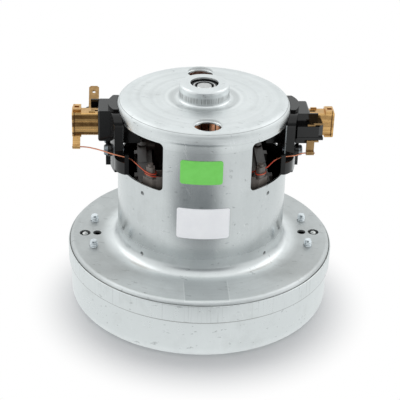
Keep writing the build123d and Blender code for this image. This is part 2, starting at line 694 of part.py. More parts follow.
impeller_back_plate.part.label = "impeller_back_plate"
export_step(impeller_back_plate.part, "parts/impeller_back_plate.step")

with BuildPart() as impeller_front_plate:
    with BuildSketch(Plane.XZ):
        with BuildLine():
            Polyline(
                (EYE_R, EYE_LIP_Z),
                (EYE_R, EYE_BEND_Z + IMPELLER_SHEET),
                (FRONT_SHOULDER_R, FRONT_SHOULDER_Z + IMPELLER_SHEET),
                (IMPELLER_R, FRONT_RIM_Z + IMPELLER_SHEET),
                (IMPELLER_R, FRONT_RIM_Z),
                (FRONT_SHOULDER_R, FRONT_SHOULDER_Z),
                (EYE_R + IMPELLER_SHEET, EYE_BEND_Z),
                (EYE_R + IMPELLER_SHEET, EYE_LIP_Z),
                close=True,
            )
        make_face()
    revolve(axis=Axis.Z)

impeller_front_plate.part.label = "impeller_front_plate"
export_step(impeller_front_plate.part, "parts/impeller_front_plate.step")

with BuildPart() as blade_room:
    with BuildSketch(Plane.XZ):
        with BuildLine():
            Polyline(
                (EYE_R, IMPELLER_BACK_Z - BLADE_PLAY),
                (EYE_R, FRONT_SHOULDER_Z + IMPELLER_SHEET + BLADE_PLAY),
                (FRONT_SHOULDER_R, FRONT_SHOULDER_Z + IMPELLER_SHEET + BLADE_PLAY),
                (IMPELLER_R, FRONT_RIM_Z + IMPELLER_SHEET + BLADE_PLAY),
                (IMPELLER_R, IMPELLER_BACK_Z - BLADE_PLAY),
                close=True,
            )
        make_face()
    revolve(axis=Axis.Z)

with BuildPart() as impeller_blades:
    with BuildSketch(Plane.XY.offset(FRONT_SHOULDER_Z)):
        with PolarLocations(0, BLADE_COUNT):
            SlotArc(
                ThreePointArc(
                    (BLADE_INNER_R, 0),
                    turned(BLADE_MIDDLE_R, 0, 0, BLADE_MIDDLE_ANGLE),
                    turned(BLADE_OUTER_R, 0, 0, BLADE_END_ANGLE),
                    mode=Mode.PRIVATE,
                ),
                BLADE_SHEET,
            )
    extrude(amount=IMPELLER_BACK_Z - FRONT_SHOULDER_Z)
    add(blade_room.part, mode=Mode.INTERSECT)

impeller_blades.part.label = "impeller_blades"
export_step(impeller_blades.part, "parts/impeller_blades.step")

with BuildPart() as impeller_washer:
    with BuildSketch(Plane.XY.offset(IMPELLER_BACK_Z - NUT_WASHER_SHEET)):
        Circle(NUT_WASHER_R)
        Circle(SHAFT_R + FIT, mode=Mode.SUBTRACT)
    extrude(amount=NUT_WASHER_SHEET)

impeller_washer.part.label = "impeller_washer"
export_step(impeller_washer.part, "parts/impeller_washer.step")

with BuildPart() as impeller_nut:
    with BuildSketch(Plane.XY.offset(IMPELLER_BACK_Z - NUT_WASHER_SHEET - NUT_HEIGHT)):
        RegularPolygon(NUT_WIDTH / 2, 6, major_radius=False)
        Circle(SHAFT_R + FIT, mode=Mode.SUBTRACT)
    extrude(amount=NUT_HEIGHT)

impeller_nut.part.label = "impeller_nut"
export_step(impeller_nut.part, "parts/impeller_nut.step")

# Stator core: steel sheets with two poles, one in front and one behind
CORE_R = CAN_R - CAN_SHEET - FIT
CORE_FLAT_X = 31.4
CORE_SPACE_X = 24.0
CORE_SPACE_Y = 31.0
CORE_SPACE_CORNER = 2.5
POLE_NECK_X = 13.0
POLE_SHOE_R = 22.4
POLE_SHOE_X = 17.0
POLE_SHOE_Y = 9.0
CORE_BORE_R = ARMATURE_R + 0.5

with BuildPart() as stator_core:
    with BuildSketch(Plane.XY.offset(CORE_LOW_Z)) as core_sheet:
        Circle(POLE_SHOE_R)
        Rectangle(2 * POLE_SHOE_X, 2 * POLE_SHOE_R, mode=Mode.INTERSECT)
        Rectangle(2 * POLE_SHOE_X, 2 * POLE_SHOE_Y, mode=Mode.SUBTRACT)
        Rectangle(2 * POLE_NECK_X, 2 * CORE_SPACE_Y + FIT)
        with BuildSketch(mode=Mode.ADD):
            Circle(CORE_R)
            Rectangle(2 * CORE_FLAT_X, 2 * CORE_R, mode=Mode.INTERSECT)
            RectangleRounded(
                2 * CORE_SPACE_X, 2 * CORE_SPACE_Y, CORE_SPACE_CORNER, mode=Mode.SUBTRACT
            )
        Circle(CORE_BORE_R, mode=Mode.SUBTRACT)
    extrude(amount=CORE_TOP_Z - CORE_LOW_Z)

stator_core.part.label = "stator_core"
export_step(stator_core.part, "parts/stator_core.step")

# Bobbins: a plastic frame on each pole, with two posts that hold the wire ends and two rails
BOBBIN_FIT = 0.15
BOBBIN_WALL = 0.8
BOBBIN_X = 22.9
BOBBIN_LOW_Z = 28.6
BOBBIN_TOP_Z = 77.0
BOBBIN_INNER_Y = 22.6
BOBBIN_OUTER_Y = 30.2
BOBBIN_INNER_SHEET = 0.6
BOBBIN_ROOM_R = CORE_R - 0.1
SHELF_X = 29.4
SHELF_INNER_Y = 18.4
SHELF_SHEET = 1.8
COIL_SIDE_X = 22.4
POST_X = 25.5
POST_Y = 26.1
POST_BASE_X = 25.7
POST_BASE_Y = 26.0
POST_BASE = (6.4, 5.8)
POST_BASE_CHAMFER = 4.2
POST_BASE_Z = 75.2
POST_WIDTH = 4.1
POST_CORNER = 1.1
POST_CHAMFER = 2.4
POST_TOP_Z = 80.6
KNOB_R = 1.3
KNOB_Y = 25.6
KNOB_TOP_Z = 81.8
RAIL_X = (26.7, 31.0)
RAIL_INNER_Y = 0.3
CLIP_Y = (10.2, 14.0)
CLIP_OUTER_X = 32.7
CLIP_FIT = 0.2
CLIP_LOW_Z = 64.0
RIVET_X = 28.6
RIVET_Y = 19.5
RIVET_R = 2.2
RIVET_HEIGHT = 0.9
SHELF_Z = CORE_TOP_Z + 0.1


def outer_corner(section, side):
    """The corner of a post's section that points at the can's wall."""
    front_corners = section.vertices().group_by(Axis.Y)[0].sort_by(Axis.X)
    return front_corners[-1 if side > 0 else 0]


with BuildPart() as bobbin:
    for near_y, sheet in ((BOBBIN_INNER_Y, BOBBIN_INNER_SHEET), (BOBBIN_OUTER_Y, -BOBBIN_WALL)):
        box_between(
            (-BOBBIN_X, -max(near_y, near_y + sheet), BOBBIN_LOW_Z),
            (BOBBIN_X, -min(near_y, near_y + sheet), BOBBIN_TOP_Z),
        )
    neck_x = POLE_NECK_X + BOBBIN_FIT
    neck_low_z = CORE_LOW_Z - BOBBIN_FIT
    neck_top_z = CORE_TOP_Z + BOBBIN_FIT
    box_between(
        (-neck_x - BOBBIN_WALL, -BOBBIN_OUTER_Y, neck_low_z - BOBBIN_WALL),
        (neck_x + BOBBIN_WALL, -BOBBIN_INNER_Y, neck_top_z + BOBBIN_WALL),
    )
    box_between(
        (-neck_x, -BOBBIN_OUTER_Y, neck_low_z),
        (neck_x, -BOBBIN_INNER_Y, neck_top_z),
        mode=Mode.SUBTRACT,
    )
    for side in (-1, 1):
        shelf_x = sorted((side * COIL_SIDE_X, side * SHELF_X))
        box_between(
            (shelf_x[0], -BOBBIN_OUTER_Y, SHELF_Z),
            (shelf_x[1], -SHELF_INNER_Y, SHELF_Z + SHELF_SHEET),
        )
        with BuildSketch(Plane((side * POST_BASE_X, -POST_BASE_Y, SHELF_Z))) as base_section:
            Rectangle(*POST_BASE)
            chamfer(outer_corner(base_section, side), POST_BASE_CHAMFER)
        extrude(amount=POST_BASE_Z - SHELF_Z)
        with BuildSketch(Plane((side * POST_X, -POST_Y, POST_BASE_Z))) as post_section:
            Rectangle(POST_WIDTH, POST_WIDTH)
            near_outer = post_section.vertices().sort_by_distance(outer_corner(post_section, side))
            chamfer(near_outer[1:], POST_CORNER)
            chamfer(outer_corner(post_section, side), POST_CHAMFER)
        extrude(amount=POST_TOP_Z - POST_BASE_Z)
        with Locations((side * POST_X, -KNOB_Y, POST_TOP_Z)):
            Cylinder(KNOB_R, KNOB_TOP_Z - POST_TOP_Z, align=STANDING)
        rail_x = sorted(side * x for x in RAIL_X)
        box_between(
            (rail_x[0], -BOBBIN_OUTER_Y, SHELF_Z),
            (rail_x[1], -RAIL_INNER_Y, SHELF_Z + SHELF_SHEET),
        )
        clip_x = sorted((side * RAIL_X[0], side * CLIP_OUTER_X))
        box_between(
            (clip_x[0], -CLIP_Y[1], SHELF_Z),
            (clip_x[1], -CLIP_Y[0], SHELF_Z + SHELF_SHEET),
        )
        hook_x = sorted((side * (CORE_FLAT_X + CLIP_FIT), side * CLIP_OUTER_X))
        box_between(
            (hook_x[0], -CLIP_Y[1], CLIP_LOW_Z),
            (hook_x[1], -CLIP_Y[0], SHELF_Z + SHELF_SHEET),
        )
        with Locations((side * RIVET_X, -RIVET_Y, SHELF_Z + SHELF_SHEET)):
            Cylinder(RIVET_R, RIVET_HEIGHT, align=STANDING)
    Cylinder(BOBBIN_ROOM_R, 2 * BOSS_TOP_Z, mode=Mode.INTERSECT)

save_pair(bobbin.part, "bobbin", FROM_FRONT)

# Field coils: one wire wound in four layers of five loops, spiralling in and out again
COIL_WIRE_D = 0.95
COIL_PITCH = 1.42
COIL_LAYER_PITCH = 1.5
COIL_LAYERS = 4
COIL_LOOPS = 5
COIL_OUTER_Y = 28.6
COIL_HALF_X = 21.65
COIL_TOP_Z = 76.2
COIL_LOW_Z = 29.85
COIL_CORNER_RADIUS = 8.5
COIL_END_X = 19.0
RUNS_PER_LAYER = 4 * COIL_LOOPS
COIL_RUNS = RUNS_PER_LAYER * COIL_LAYERS


def coil_inset(run):
    """How far a straight run lies inside the coil's outermost loop: in, then out again."""
    place = run % (2 * RUNS_PER_LAYER)
    return COIL_PITCH / 4 * min(place, 2 * RUNS_PER_LAYER - place)


def coil_route():
    """The field wire's corners, run by run: top, right, bottom, left."""
    points = [(-COIL_END_X, -COIL_OUTER_Y, COIL_TOP_Z)]
    radii = []
    for run in range(COIL_RUNS):
        here = coil_inset(run)
        there = coil_inset(run + 1)
        y = COIL_LAYER_PITCH * (run // RUNS_PER_LAYER) - COIL_OUTER_Y
        corners = (
            (COIL_HALF_X - there, COIL_TOP_Z - here),
            (COIL_HALF_X - here, COIL_LOW_Z + there),
            (there - COIL_HALF_X, COIL_LOW_Z + here),
            (here - COIL_HALF_X, COIL_TOP_Z - there),
        )
        x, z = corners[run % 4]
        points.append((x, y, z))
        radii.append(COIL_CORNER_RADIUS - (here + there) / 2)
    last_y = COIL_LAYER_PITCH * (COIL_LAYERS - 1) - COIL_OUTER_Y
    points.append((COIL_END_X, last_y, COIL_TOP_Z))
    return points, radii


GAP_SAMPLE = 0.6
GAP_SKIP = 4.0


def least_gap(path, wire_d):
    """The least clear space between parts of one wire that lie apart along it."""
    count = int(path.length / GAP_SAMPLE)
    points = np.array([tuple(path @ (i / count)) for i in range(count + 1)])
    apart = int(GAP_SKIP * wire_d / GAP_SAMPLE)
    nearest = math.inf
    for i in range(len(points) - apart):
        distances = np.linalg.norm(points[i + apart:] - points[i], axis=1)
        nearest = min(nearest, distances.min())
    return nearest - wire_d


def wire_solid(path, wire_d):
    """A round wire swept along a path."""
    with BuildPart() as wire:
        with BuildSketch(Plane(origin=path @ 0, z_dir=path % 0)):
            Circle(wire_d / 2)
        sweep(path=path)
    return wire.part


coil_points, coil_radii = coil_route()
with BuildLine() as coil_line:
    FilletPolyline(*coil_points, radius=coil_radii)
coil_path = coil_line.wire()
field_coil = wire_solid(coil_path, COIL_WIRE_D)
print("field coil, least gap", round(least_gap(coil_path, COIL_WIRE_D), 2))
print("field coil, smallest bend", round(min(coil_radii), 2))
save_pair(field_coil, "field_coil", FROM_FRONT)

# Brush gear: each piece is drawn on the right, at +X, where the terminal looks to the front
TUBE_WIDTH = 7.0
TUBE_HEIGHT = 11.4
TUBE_WALL = 0.45
TUBE_FROM_X = 15.0
TUBE_TO_X = 61.5
TUBE_CORNER_RADIUS = 0.8
GROOVE_DEPTH = 0.2
GROOVE_WIDTH = 1.4
GROOVE_OFFSET = 2.1
GROOVE_FROM_X = 44.0
TUBE_SLOT_X = (49.9, 53.0)
TUBE_SLOT_WIDTH = 1.6
TUBE_TAB_X = (51.1, 54.0)
TUBE_TAB_WIDTH = 0.9
TUBE_TAB_RISE = 0.8
TUBE_NOTCH_X = 53.0
TUBE_NOTCH_R = 1.3
TUBE_Y = TUBE_WIDTH / 2
TUBE_LOW_Z = BRUSH_Z - TUBE_HEIGHT / 2
TUBE_TOP_Z = BRUSH_Z + TUBE_HEIGHT / 2
ALONG_X = Plane.YZ

with BuildPart() as brush_tube:
    with BuildSketch(ALONG_X.offset(TUBE_FROM_X)):
        with Locations((0, BRUSH_Z)):
            RectangleRounded(TUBE_WIDTH, TUBE_HEIGHT, TUBE_CORNER_RADIUS)
            Rectangle(
                TUBE_WIDTH - 2 * TUBE_WALL, TUBE_HEIGHT - 2 * TUBE_WALL, mode=Mode.SUBTRACT
            )
    extrude(amount=TUBE_TO_X - TUBE_FROM_X)
    for z in (BRUSH_Z - GROOVE_OFFSET, BRUSH_Z + GROOVE_OFFSET):
        for side in (-1, 1):
            groove_y = sorted((side * (TUBE_Y - GROOVE_DEPTH), side * TUBE_Y))
            box_between(
                (GROOVE_FROM_X, groove_y[0], z - GROOVE_WIDTH / 2),
                (TUBE_TO_X, groove_y[1], z + GROOVE_WIDTH / 2),
                mode=Mode.SUBTRACT,
            )
    box_between(
        (TUBE_SLOT_X[0], -TUBE_SLOT_WIDTH / 2, BRUSH_Z),
        (TUBE_SLOT_X[1], TUBE_SLOT_WIDTH / 2, TUBE_TOP_Z),
        mode=Mode.SUBTRACT,
    )
    box_between(
        (TUBE_TAB_X[0], TUBE_Y - TUBE_CORNER_RADIUS - TUBE_TAB_WIDTH, TUBE_TOP_Z - TUBE_WALL),
        (TUBE_TAB_X[1], TUBE_Y - TUBE_CORNER_RADIUS, TUBE_TOP_Z + TUBE_TAB_RISE),
    )
    with Locations(Location((TUBE_NOTCH_X, TUBE_Y, TUBE_LOW_Z), (QUARTER_TURN, 0, 0))):
        Cylinder(TUBE_NOTCH_R, TUBE_WIDTH / 2, mode=Mode.SUBTRACT)

save_pair(brush_tube.part, "brush_tube", FROM_RIGHT)

# Carbon brush, with a face worn to the commutator and a nub for its spring
BRUSH_WIDTH = 6.0
BRUSH_HEIGHT = 10.4
BRUSH_BACK_X = 44.0
BRUSH_NUB_R = 1.5
BRUSH_NUB = 2.0
BRUSH_FACE_GAP = 0.1
BRUSH_CHAMFER = 0.4

with BuildPart() as carbon_brush:
    with BuildSketch(ALONG_X):
        with Locations((0, BRUSH_Z)):
            Rectangle(BRUSH_WIDTH, BRUSH_HEIGHT)
    extrude(amount=BRUSH_BACK_X)
    chamfer(carbon_brush.faces().sort_by(Axis.X)[-1].edges(), BRUSH_CHAMFER)
    with BuildSketch(ALONG_X.offset(BRUSH_BACK_X)):
        with Locations((0, BRUSH_Z)):
            Circle(BRUSH_NUB_R)
    extrude(amount=BRUSH_NUB)
    Cylinder(COMMUTATOR_R + BRUSH_FACE_GAP, 2 * BOSS_TOP_Z, mode=Mode.SUBTRACT)

save_pair(carbon_brush.part, "carbon_brush", FROM_RIGHT)

# Brush cap: a brass clip over the tube's end, with a tongue that is crimped on a wire's end
CAP_FROM_X = 57.7
CAP_SHEET = 0.45
CAP_Y = TUBE_Y + FIT + CAP_SHEET
CAP_LOW_Z = TUBE_LOW_Z - FIT - CAP_SHEET
CAP_TOP_Z = TUBE_TOP_Z + FIT + CAP_SHEET
CAP_TO_X = TUBE_TO_X + FIT + CAP_SHEET
CAP_TAB_Z = 98.5
CAP_TAB_Y = (-3.9, 2.2)
CAP_NOTCH_X = (58.6, 60.8)
CAP_NOTCH_Y = (-1.8, 0.0)
TONGUE_START_Y = 3.6
TONGUE_START_Z = 85.4
TONGUE_END_Y = 7.6
TONGUE_END_Z = 82.0
TONGUE_WIDTH = 3.6
CRIMP_R = 1.0
LEAD_D = 0.6
LEAD_BORE_R = LEAD_D / 2 + 0.01
TUBE_CRIMP_Y = 8.3
TUBE_CRIMP_Z = 82.0

with BuildPart() as brush_cap:
    box_between((CAP_FROM_X, -CAP_Y, CAP_LOW_Z), (CAP_TO_X, CAP_Y, CAP_TOP_Z))
    fillet(brush_cap.faces().sort_by(Axis.X)[-1].edges(), CAP_SHEET)
    box_between(
        (CAP_FROM_X - CAP_SHEET, -TUBE_Y - FIT, TUBE_LOW_Z - FIT),
        (TUBE_TO_X + FIT, TUBE_Y + FIT, TUBE_TOP_Z + FIT),
        mode=Mode.SUBTRACT,
    )
    for side in (-1, 1):
        cut_y = sorted((side * TUBE_Y / 2, side * 2 * CAP_Y))
        box_between(
            (CAP_FROM_X - CAP_SHEET, cut_y[0], TUBE_LOW_Z + TUBE_WALL),
            (TUBE_TO_X - CAP_SHEET, cut_y[1], TUBE_TOP_Z - TUBE_WALL),
            mode=Mode.SUBTRACT,
        )
    box_between(
        (CAP_FROM_X, CAP_TAB_Y[0], CAP_TOP_Z - CAP_SHEET),
        (TUBE_TO_X, CAP_TAB_Y[1], CAP_TAB_Z),
    )
    box_between(
        (CAP_NOTCH_X[0], CAP_NOTCH_Y[0], CAP_TOP_Z),
        (CAP_NOTCH_X[1], CAP_NOTCH_Y[1], CAP_TAB_Z),
        mode=Mode.SUBTRACT,
    )
    with BuildSketch(ALONG_X.offset(CAP_FROM_X + CAP_SHEET)):
        with BuildLine():
            Polyline(
                (TUBE_Y / 2, CAP_LOW_Z),
                (TONGUE_START_Y, TONGUE_START_Z - CAP_SHEET),
                (TONGUE_END_Y, TONGUE_END_Z),
                (TONGUE_END_Y + CAP_SHEET, TONGUE_END_Z + CAP_SHEET),
                (TONGUE_START_Y + CAP_SHEET / 2, TONGUE_START_Z + CAP_SHEET / 2),
                (TUBE_Y / 2, CAP_LOW_Z + CAP_SHEET),
                close=True,
            )
        make_face()
        with Locations((TUBE_CRIMP_Y, TUBE_CRIMP_Z)):
            Circle(CRIMP_R)
    extrude(amount=TONGUE_WIDTH)
    box_between(
        (CAP_FROM_X - CAP_SHEET, -TUBE_Y - FIT, TUBE_LOW_Z - FIT),
        (TUBE_TO_X + FIT, TUBE_Y + FIT, TUBE_TOP_Z + FIT),
        mode=Mode.SUBTRACT,
    )
    with Locations(Location((CAP_TO_X, TUBE_CRIMP_Y, TUBE_CRIMP_Z), (0, QUARTER_TURN, 0))):
        Cylinder(LEAD_BORE_R, CAP_TO_X, mode=Mode.SUBTRACT)

save_pair(brush_cap.part, "brush_cap", FROM_RIGHT)

# Spade terminal: a tab that rises to the front, and a leg down to a crimp on a wire's end
SPADE_X = 52.0
SPADE_WIDTH = 4.8
SPADE_SHEET = 0.8
SPADE_TILT = 24.7
SPADE_EDGE_Y = 12.1
SPADE_EDGE_Z = 95.6
SPADE_REACH = 10.5
SPADE_ROOT = 7.0
SPADE_CHAMFER = 0.9
SPADE_HOLE_R = 0.85
SPADE_HOLE_FROM_TIP = 3.7
LEG_X = 50.1
LEG_WIDTH = 3.7
LEG_Y = 10.8
LEG_LOW_Z = 80.6
LEG_FOOT_Z = 88.0
LEG_FOOT_REACH = 1.6
TERMINAL_CRIMP_Y = 12.0
TERMINAL_CRIMP_Z = 80.6
LEG_TOP_Z = 95.0

spade_plane = Plane(
    origin=(SPADE_X, -SPADE_EDGE_Y, SPADE_EDGE_Z),
    x_dir=(1, 0, 0),
    z_dir=(0, math.sin(math.radians(SPADE_TILT)), math.cos(math.radians(SPADE_TILT))),
)
with BuildPart() as spade_terminal:
    with BuildSketch(spade_plane) as spade_outline:
        with Locations((0, (SPADE_ROOT - SPADE_REACH) / 2)):
            Rectangle(SPADE_WIDTH, SPADE_REACH + SPADE_ROOT)
        chamfer(spade_outline.vertices().group_by(Axis.Y)[0], SPADE_CHAMFER)
        with Locations((0, SPADE_HOLE_FROM_TIP - SPADE_REACH)):
            Circle(SPADE_HOLE_R, mode=Mode.SUBTRACT)
    extrude(amount=SPADE_SHEET / 2, both=True)
    box_between(
        (LEG_X - LEG_WIDTH / 2, -LEG_Y - SPADE_SHEET, LEG_LOW_Z),
        (LEG_X + LEG_WIDTH / 2, -LEG_Y, LEG_TOP_Z),
    )
    box_between(
        (LEG_X - LEG_WIDTH / 2, -LEG_Y - LEG_FOOT_REACH, LEG_FOOT_Z - 2 * SPADE_SHEET),
        (LEG_X + LEG_WIDTH, -LEG_Y, LEG_FOOT_Z - SPADE_SHEET),
    )
    with BuildSketch(ALONG_X.offset(LEG_X - LEG_WIDTH / 2)):
        with Locations((-TERMINAL_CRIMP_Y, TERMINAL_CRIMP_Z)):
            Circle(CRIMP_R)
            Circle(LEAD_BORE_R, mode=Mode.SUBTRACT)
    extrude(amount=LEG_WIDTH)

save_pair(spade_terminal.part, "spade_terminal", FROM_RIGHT)

# Brush holder: a moulded saddle on the can that carries the tube and the terminal
SADDLE_INNER_R = CAN_CAP_R + 0.1
SADDLE_OUTER_R = 44.6
SADDLE_Y = 15.0
SADDLE_LOW_Z = 72.0
SADDLE_TOP_Z = 100.0
SADDLE_SHOULDER_RADIUS = 5.0
ROOT_X = 43.5
BLOCK_X = 49.8
BLOCK_Y = (-8.4, 6.2)
BLOCK_LOW_Z = 84.0
BLOCK_TOP_Z = 99.4
BLOCK_CORNER_RADIUS = 1.0
STEP_X = 45.1
STEP_Y = 8.4
STEP_FACE_R = 15.0
STEP_LOW_Z = 92.6
STEP_TOP_Z = 101.3
GROOVE_Y = (8.4, 9.6)
GROOVE_LOW_Z = 90.0
GROOVE_FLOOR_R = 42.6
SLEEVE_X = 30.0
SLEEVE_PLAY = 0.05
SLEEVE_Y = TUBE_HOLE_WIDTH / 2 - SLEEVE_PLAY
HOOD_X = 53.3
HOOD_Y = (-8.4, -7.5)
HOOD_LOW_Z = 93.6
HOOD_TOP_Z = 99.3
LEDGE_X = 55.8
LEDGE_Y = 12.1
LEDGE_LOW_Z = 87.4
LEDGE_TOP_Z = 94.2
LEDGE_LIP = 1.3
LEDGE_FACE_Y = 11.9
LEDGE_CHAMFER = 2.2
RIB_TO_X = 46.3
RIB_Y = 1.1
RIB_LOW_Z = 69.0
PAD_R = 3.1
PAD_X = 45.2
PAD_THICKNESS = 3.2
HOOK_LOW_Z = 74.0
HOOK_TOP_Z = 80.0
HOOK_TIP_Z = 84.0
HOOK_SHEET = 1.3
HOOK_ROOT_Y = 14.2
HOOK_ROOT_X = (38.4, 42.2)
HOOK_BULGE = (41.1, 18.0)
HOOK_TIP_X = (35.4, 37.4)
HOOK_TIP_Y = (19.6, 21.6)
HOOK_BEND = (37.2, 17.6)
HOOK_POCKET = ((37.0, 15.5), (40.4, 15.5), (39.6, 17.6), (37.4, 20.0), (35.0, 18.0))

with BuildPart() as brush_holder:
    with BuildSketch(Plane.XY.offset(SADDLE_LOW_Z)):
        Circle(SADDLE_OUTER_R)
        Circle(SADDLE_INNER_R, mode=Mode.SUBTRACT)
        with Locations((SADDLE_OUTER_R / 2, 0)):
            Rectangle(SADDLE_OUTER_R, 2 * SADDLE_Y, mode=Mode.INTERSECT)
    extrude(amount=SADDLE_TOP_Z - SADDLE_LOW_Z)
    for y in (-SADDLE_Y, SADDLE_Y):
        end_face = brush_holder.faces().filter_by(Axis.Y).sort_by(Axis.Y)[0 if y < 0 else -1]
        fillet(end_face.edges().sort_by(Axis.Z)[-1], SADDLE_SHOULDER_RADIUS)
    for side in (-1, 1):
        groove_y = sorted((side * GROOVE_Y[0], side * GROOVE_Y[1]))
        box_between(
            (GROOVE_FLOOR_R, groove_y[0], GROOVE_LOW_Z),
            (SADDLE_OUTER_R, groove_y[1], SADDLE_TOP_Z),
            mode=Mode.SUBTRACT,
        )
    with BuildSketch(Plane.XY.offset(STEP_LOW_Z)):
        with Locations((STEP_X / 2, 0)):
            Rectangle(STEP_X, 2 * STEP_Y)
        with Locations((STEP_X - STEP_FACE_R, 0)):
            Circle(STEP_FACE_R, mode=Mode.INTERSECT)
        Circle(SADDLE_INNER_R, mode=Mode.SUBTRACT)
    extrude(amount=STEP_TOP_Z - STEP_LOW_Z)
    with BuildPart(mode=Mode.PRIVATE) as block:
        box_between(
            (SADDLE_INNER_R + SLEEVE_PLAY, BLOCK_Y[0], BLOCK_LOW_Z),
            (BLOCK_X, BLOCK_Y[1], BLOCK_TOP_Z),
        )
        fillet(block.faces().sort_by(Axis.X)[-1].edges(), BLOCK_CORNER_RADIUS)
    add(block.part)
    box_between(
        (SLEEVE_X, -SLEEVE_Y, TUBE_HOLE_LOW_Z + SLEEVE_PLAY),
        (SADDLE_OUTER_R, SLEEVE_Y, TUBE_HOLE_TOP_Z - SLEEVE_PLAY),
    )
    box_between((ROOT_X, -RIB_Y, RIB_LOW_Z), (RIB_TO_X, RIB_Y, BLOCK_LOW_Z))
    for y in (-HOLDER_SCREW_Y, HOLDER_SCREW_Y):
        with Locations(Location((PAD_X, y, HOLDER_SCREW_Z), (0, -QUARTER_TURN, 0))):
            Cylinder(PAD_R, PAD_THICKNESS, align=STANDING)
    box_between((ROOT_X, HOOD_Y[0], HOOD_LOW_Z), (HOOD_X, HOOD_Y[1], HOOD_TOP_Z))
    with BuildSketch(Plane.XY.offset(LEDGE_LOW_Z + LEDGE_LIP)) as ledge_outline:
        with Locations(((ROOT_X + LEDGE_X) / 2, -(TUBE_Y + LEDGE_FACE_Y) / 2)):
            Rectangle(LEDGE_X - ROOT_X, LEDGE_FACE_Y - TUBE_Y)
        far_corner = ledge_outline.vertices().group_by(Axis.Y)[0].sort_by(Axis.X)[-1]
        chamfer(far_corner, LEDGE_CHAMFER)
    extrude(amount=LEDGE_TOP_Z - LEDGE_LOW_Z - LEDGE_LIP)
    box_between(
        (ROOT_X, -LEDGE_Y, LEDGE_LOW_Z),
        (LEDGE_X, -TUBE_Y, LEDGE_LOW_Z + LEDGE_LIP),
    )
    for side in (-1, 1):
        root = (HOOK_ROOT_X[0], side * HOOK_ROOT_Y)
        bulge_start = (HOOK_ROOT_X[1], side * HOOK_ROOT_Y)
        tip_end = (HOOK_TIP_X[1], side * HOOK_TIP_Y[1])
        with BuildSketch(Plane.XY.offset(HOOK_LOW_Z)):
            with BuildLine():
                Line(root, bulge_start)
                ThreePointArc(bulge_start, (HOOK_BULGE[0], side * HOOK_BULGE[1]), tip_end)
                Polyline(
                    tip_end,
                    (HOOK_TIP_X[0], side * HOOK_TIP_Y[1]),
                    (HOOK_TIP_X[0], side * HOOK_TIP_Y[0]),
                    (HOOK_BEND[0], side * HOOK_BEND[1]),
                    root,
                )
            make_face()
        extrude(amount=HOOK_TOP_Z - HOOK_LOW_Z)
        with BuildSketch(Plane.XY.offset(HOOK_LOW_Z + HOOK_SHEET)):
            Polygon(*[(x, side * y) for x, y in HOOK_POCKET], align=None)
        extrude(amount=HOOK_TOP_Z - HOOK_LOW_Z - 2 * HOOK_SHEET, mode=Mode.SUBTRACT)
        tip_y = sorted((side * HOOK_TIP_Y[0], side * HOOK_TIP_Y[1]))
        box_between(
            (HOOK_TIP_X[0], tip_y[0], HOOK_LOW_Z),
            (HOOK_TIP_X[1], tip_y[1], HOOK_TIP_Z),
        )
    box_between(
        (SLEEVE_X, -TUBE_Y - FIT, TUBE_LOW_Z - FIT),
        (LEDGE_X, TUBE_Y + FIT, TUBE_TOP_Z + FIT),
        mode=Mode.SUBTRACT,
    )
    for y in (-HOLDER_SCREW_Y, HOLDER_SCREW_Y):
        with Locations(Location((PAD_X, y, HOLDER_SCREW_Z), (0, QUARTER_TURN, 0))):
            Cylinder(HOLDER_SCREW_D / 2 + FIT, PAD_X / 2, mode=Mode.SUBTRACT)
    add(spade_terminal.part, mode=Mode.SUBTRACT)

save_pair(brush_holder.part, "brush_holder", FROM_RIGHT)

# Holder screws: two for each holder, into the can's wall
HOLDER_SCREW_HEAD_R = 2.6
HOLDER_SCREW_HEAD = 1.9
HOLDER_SCREW_LENGTH = 7.6

with BuildPart() as holder_screws:
    for angle in (0, HALF_TURN):
        for y in (-HOLDER_SCREW_Y, HOLDER_SCREW_Y):
            place = turned(PAD_X, y, HOLDER_SCREW_Z, angle)
            with Locations(Plane(origin=place, z_dir=turned(1, 0, 0, angle))):
                Cylinder(HOLDER_SCREW_HEAD_R, HOLDER_SCREW_HEAD, align=STANDING)
                Cylinder(HOLDER_SCREW_D / 2, HOLDER_SCREW_LENGTH, align=HANGING)
    for outermost in (0, -1):
        head_rims = holder_screws.edges().filter_by(GeomType.CIRCLE).group_by(Axis.X)[outermost]
        fillet(head_rims, HOLDER_SCREW_HEAD / 3)

holder_screws.part.label = "holder_screws"
export_step(holder_screws.part, "parts/holder_screws.step")

# Brush springs: twelve turns of round wire, each quarter turn made of two arcs
SPRING_WIRE_D = 0.5
SPRING_MIDDLE_R = 2.3
SPRING_TURNS = 12
SPRING_END_GAP = 0.05
SPRING_END_BEND = 0.9
SPRING_FROM_X = BRUSH_BACK_X + SPRING_END_GAP
SPRING_TO_X = TUBE_TO_X + FIT - SPRING_END_GAP
HELIX_FROM_X = SPRING_FROM_X + SPRING_WIRE_D + SPRING_END_BEND
HELIX_TO_X = SPRING_TO_X - SPRING_WIRE_D - SPRING_END_BEND
SPRING_PITCH = (HELIX_TO_X - HELIX_FROM_X) / SPRING_TURNS


def biarc(start, start_way, end, end_way):
    """Two arcs that leave a point in one direction and reach another point in another."""
    start_way = start_way.normalized()
    end_way = end_way.normalized()
    across = end - start
    ways = start_way + end_way
    spread = 2 * (1 - start_way.dot(end_way))
    pull = across.dot(ways)
    reach = (math.sqrt(pull * pull + spread * across.dot(across)) - pull) / spread
    middle = (start + start_way * reach + end - end_way * reach) / 2
    first = TangentArc(start, middle, tangent=start_way)
    TangentArc(middle, end, tangent=first % 1)


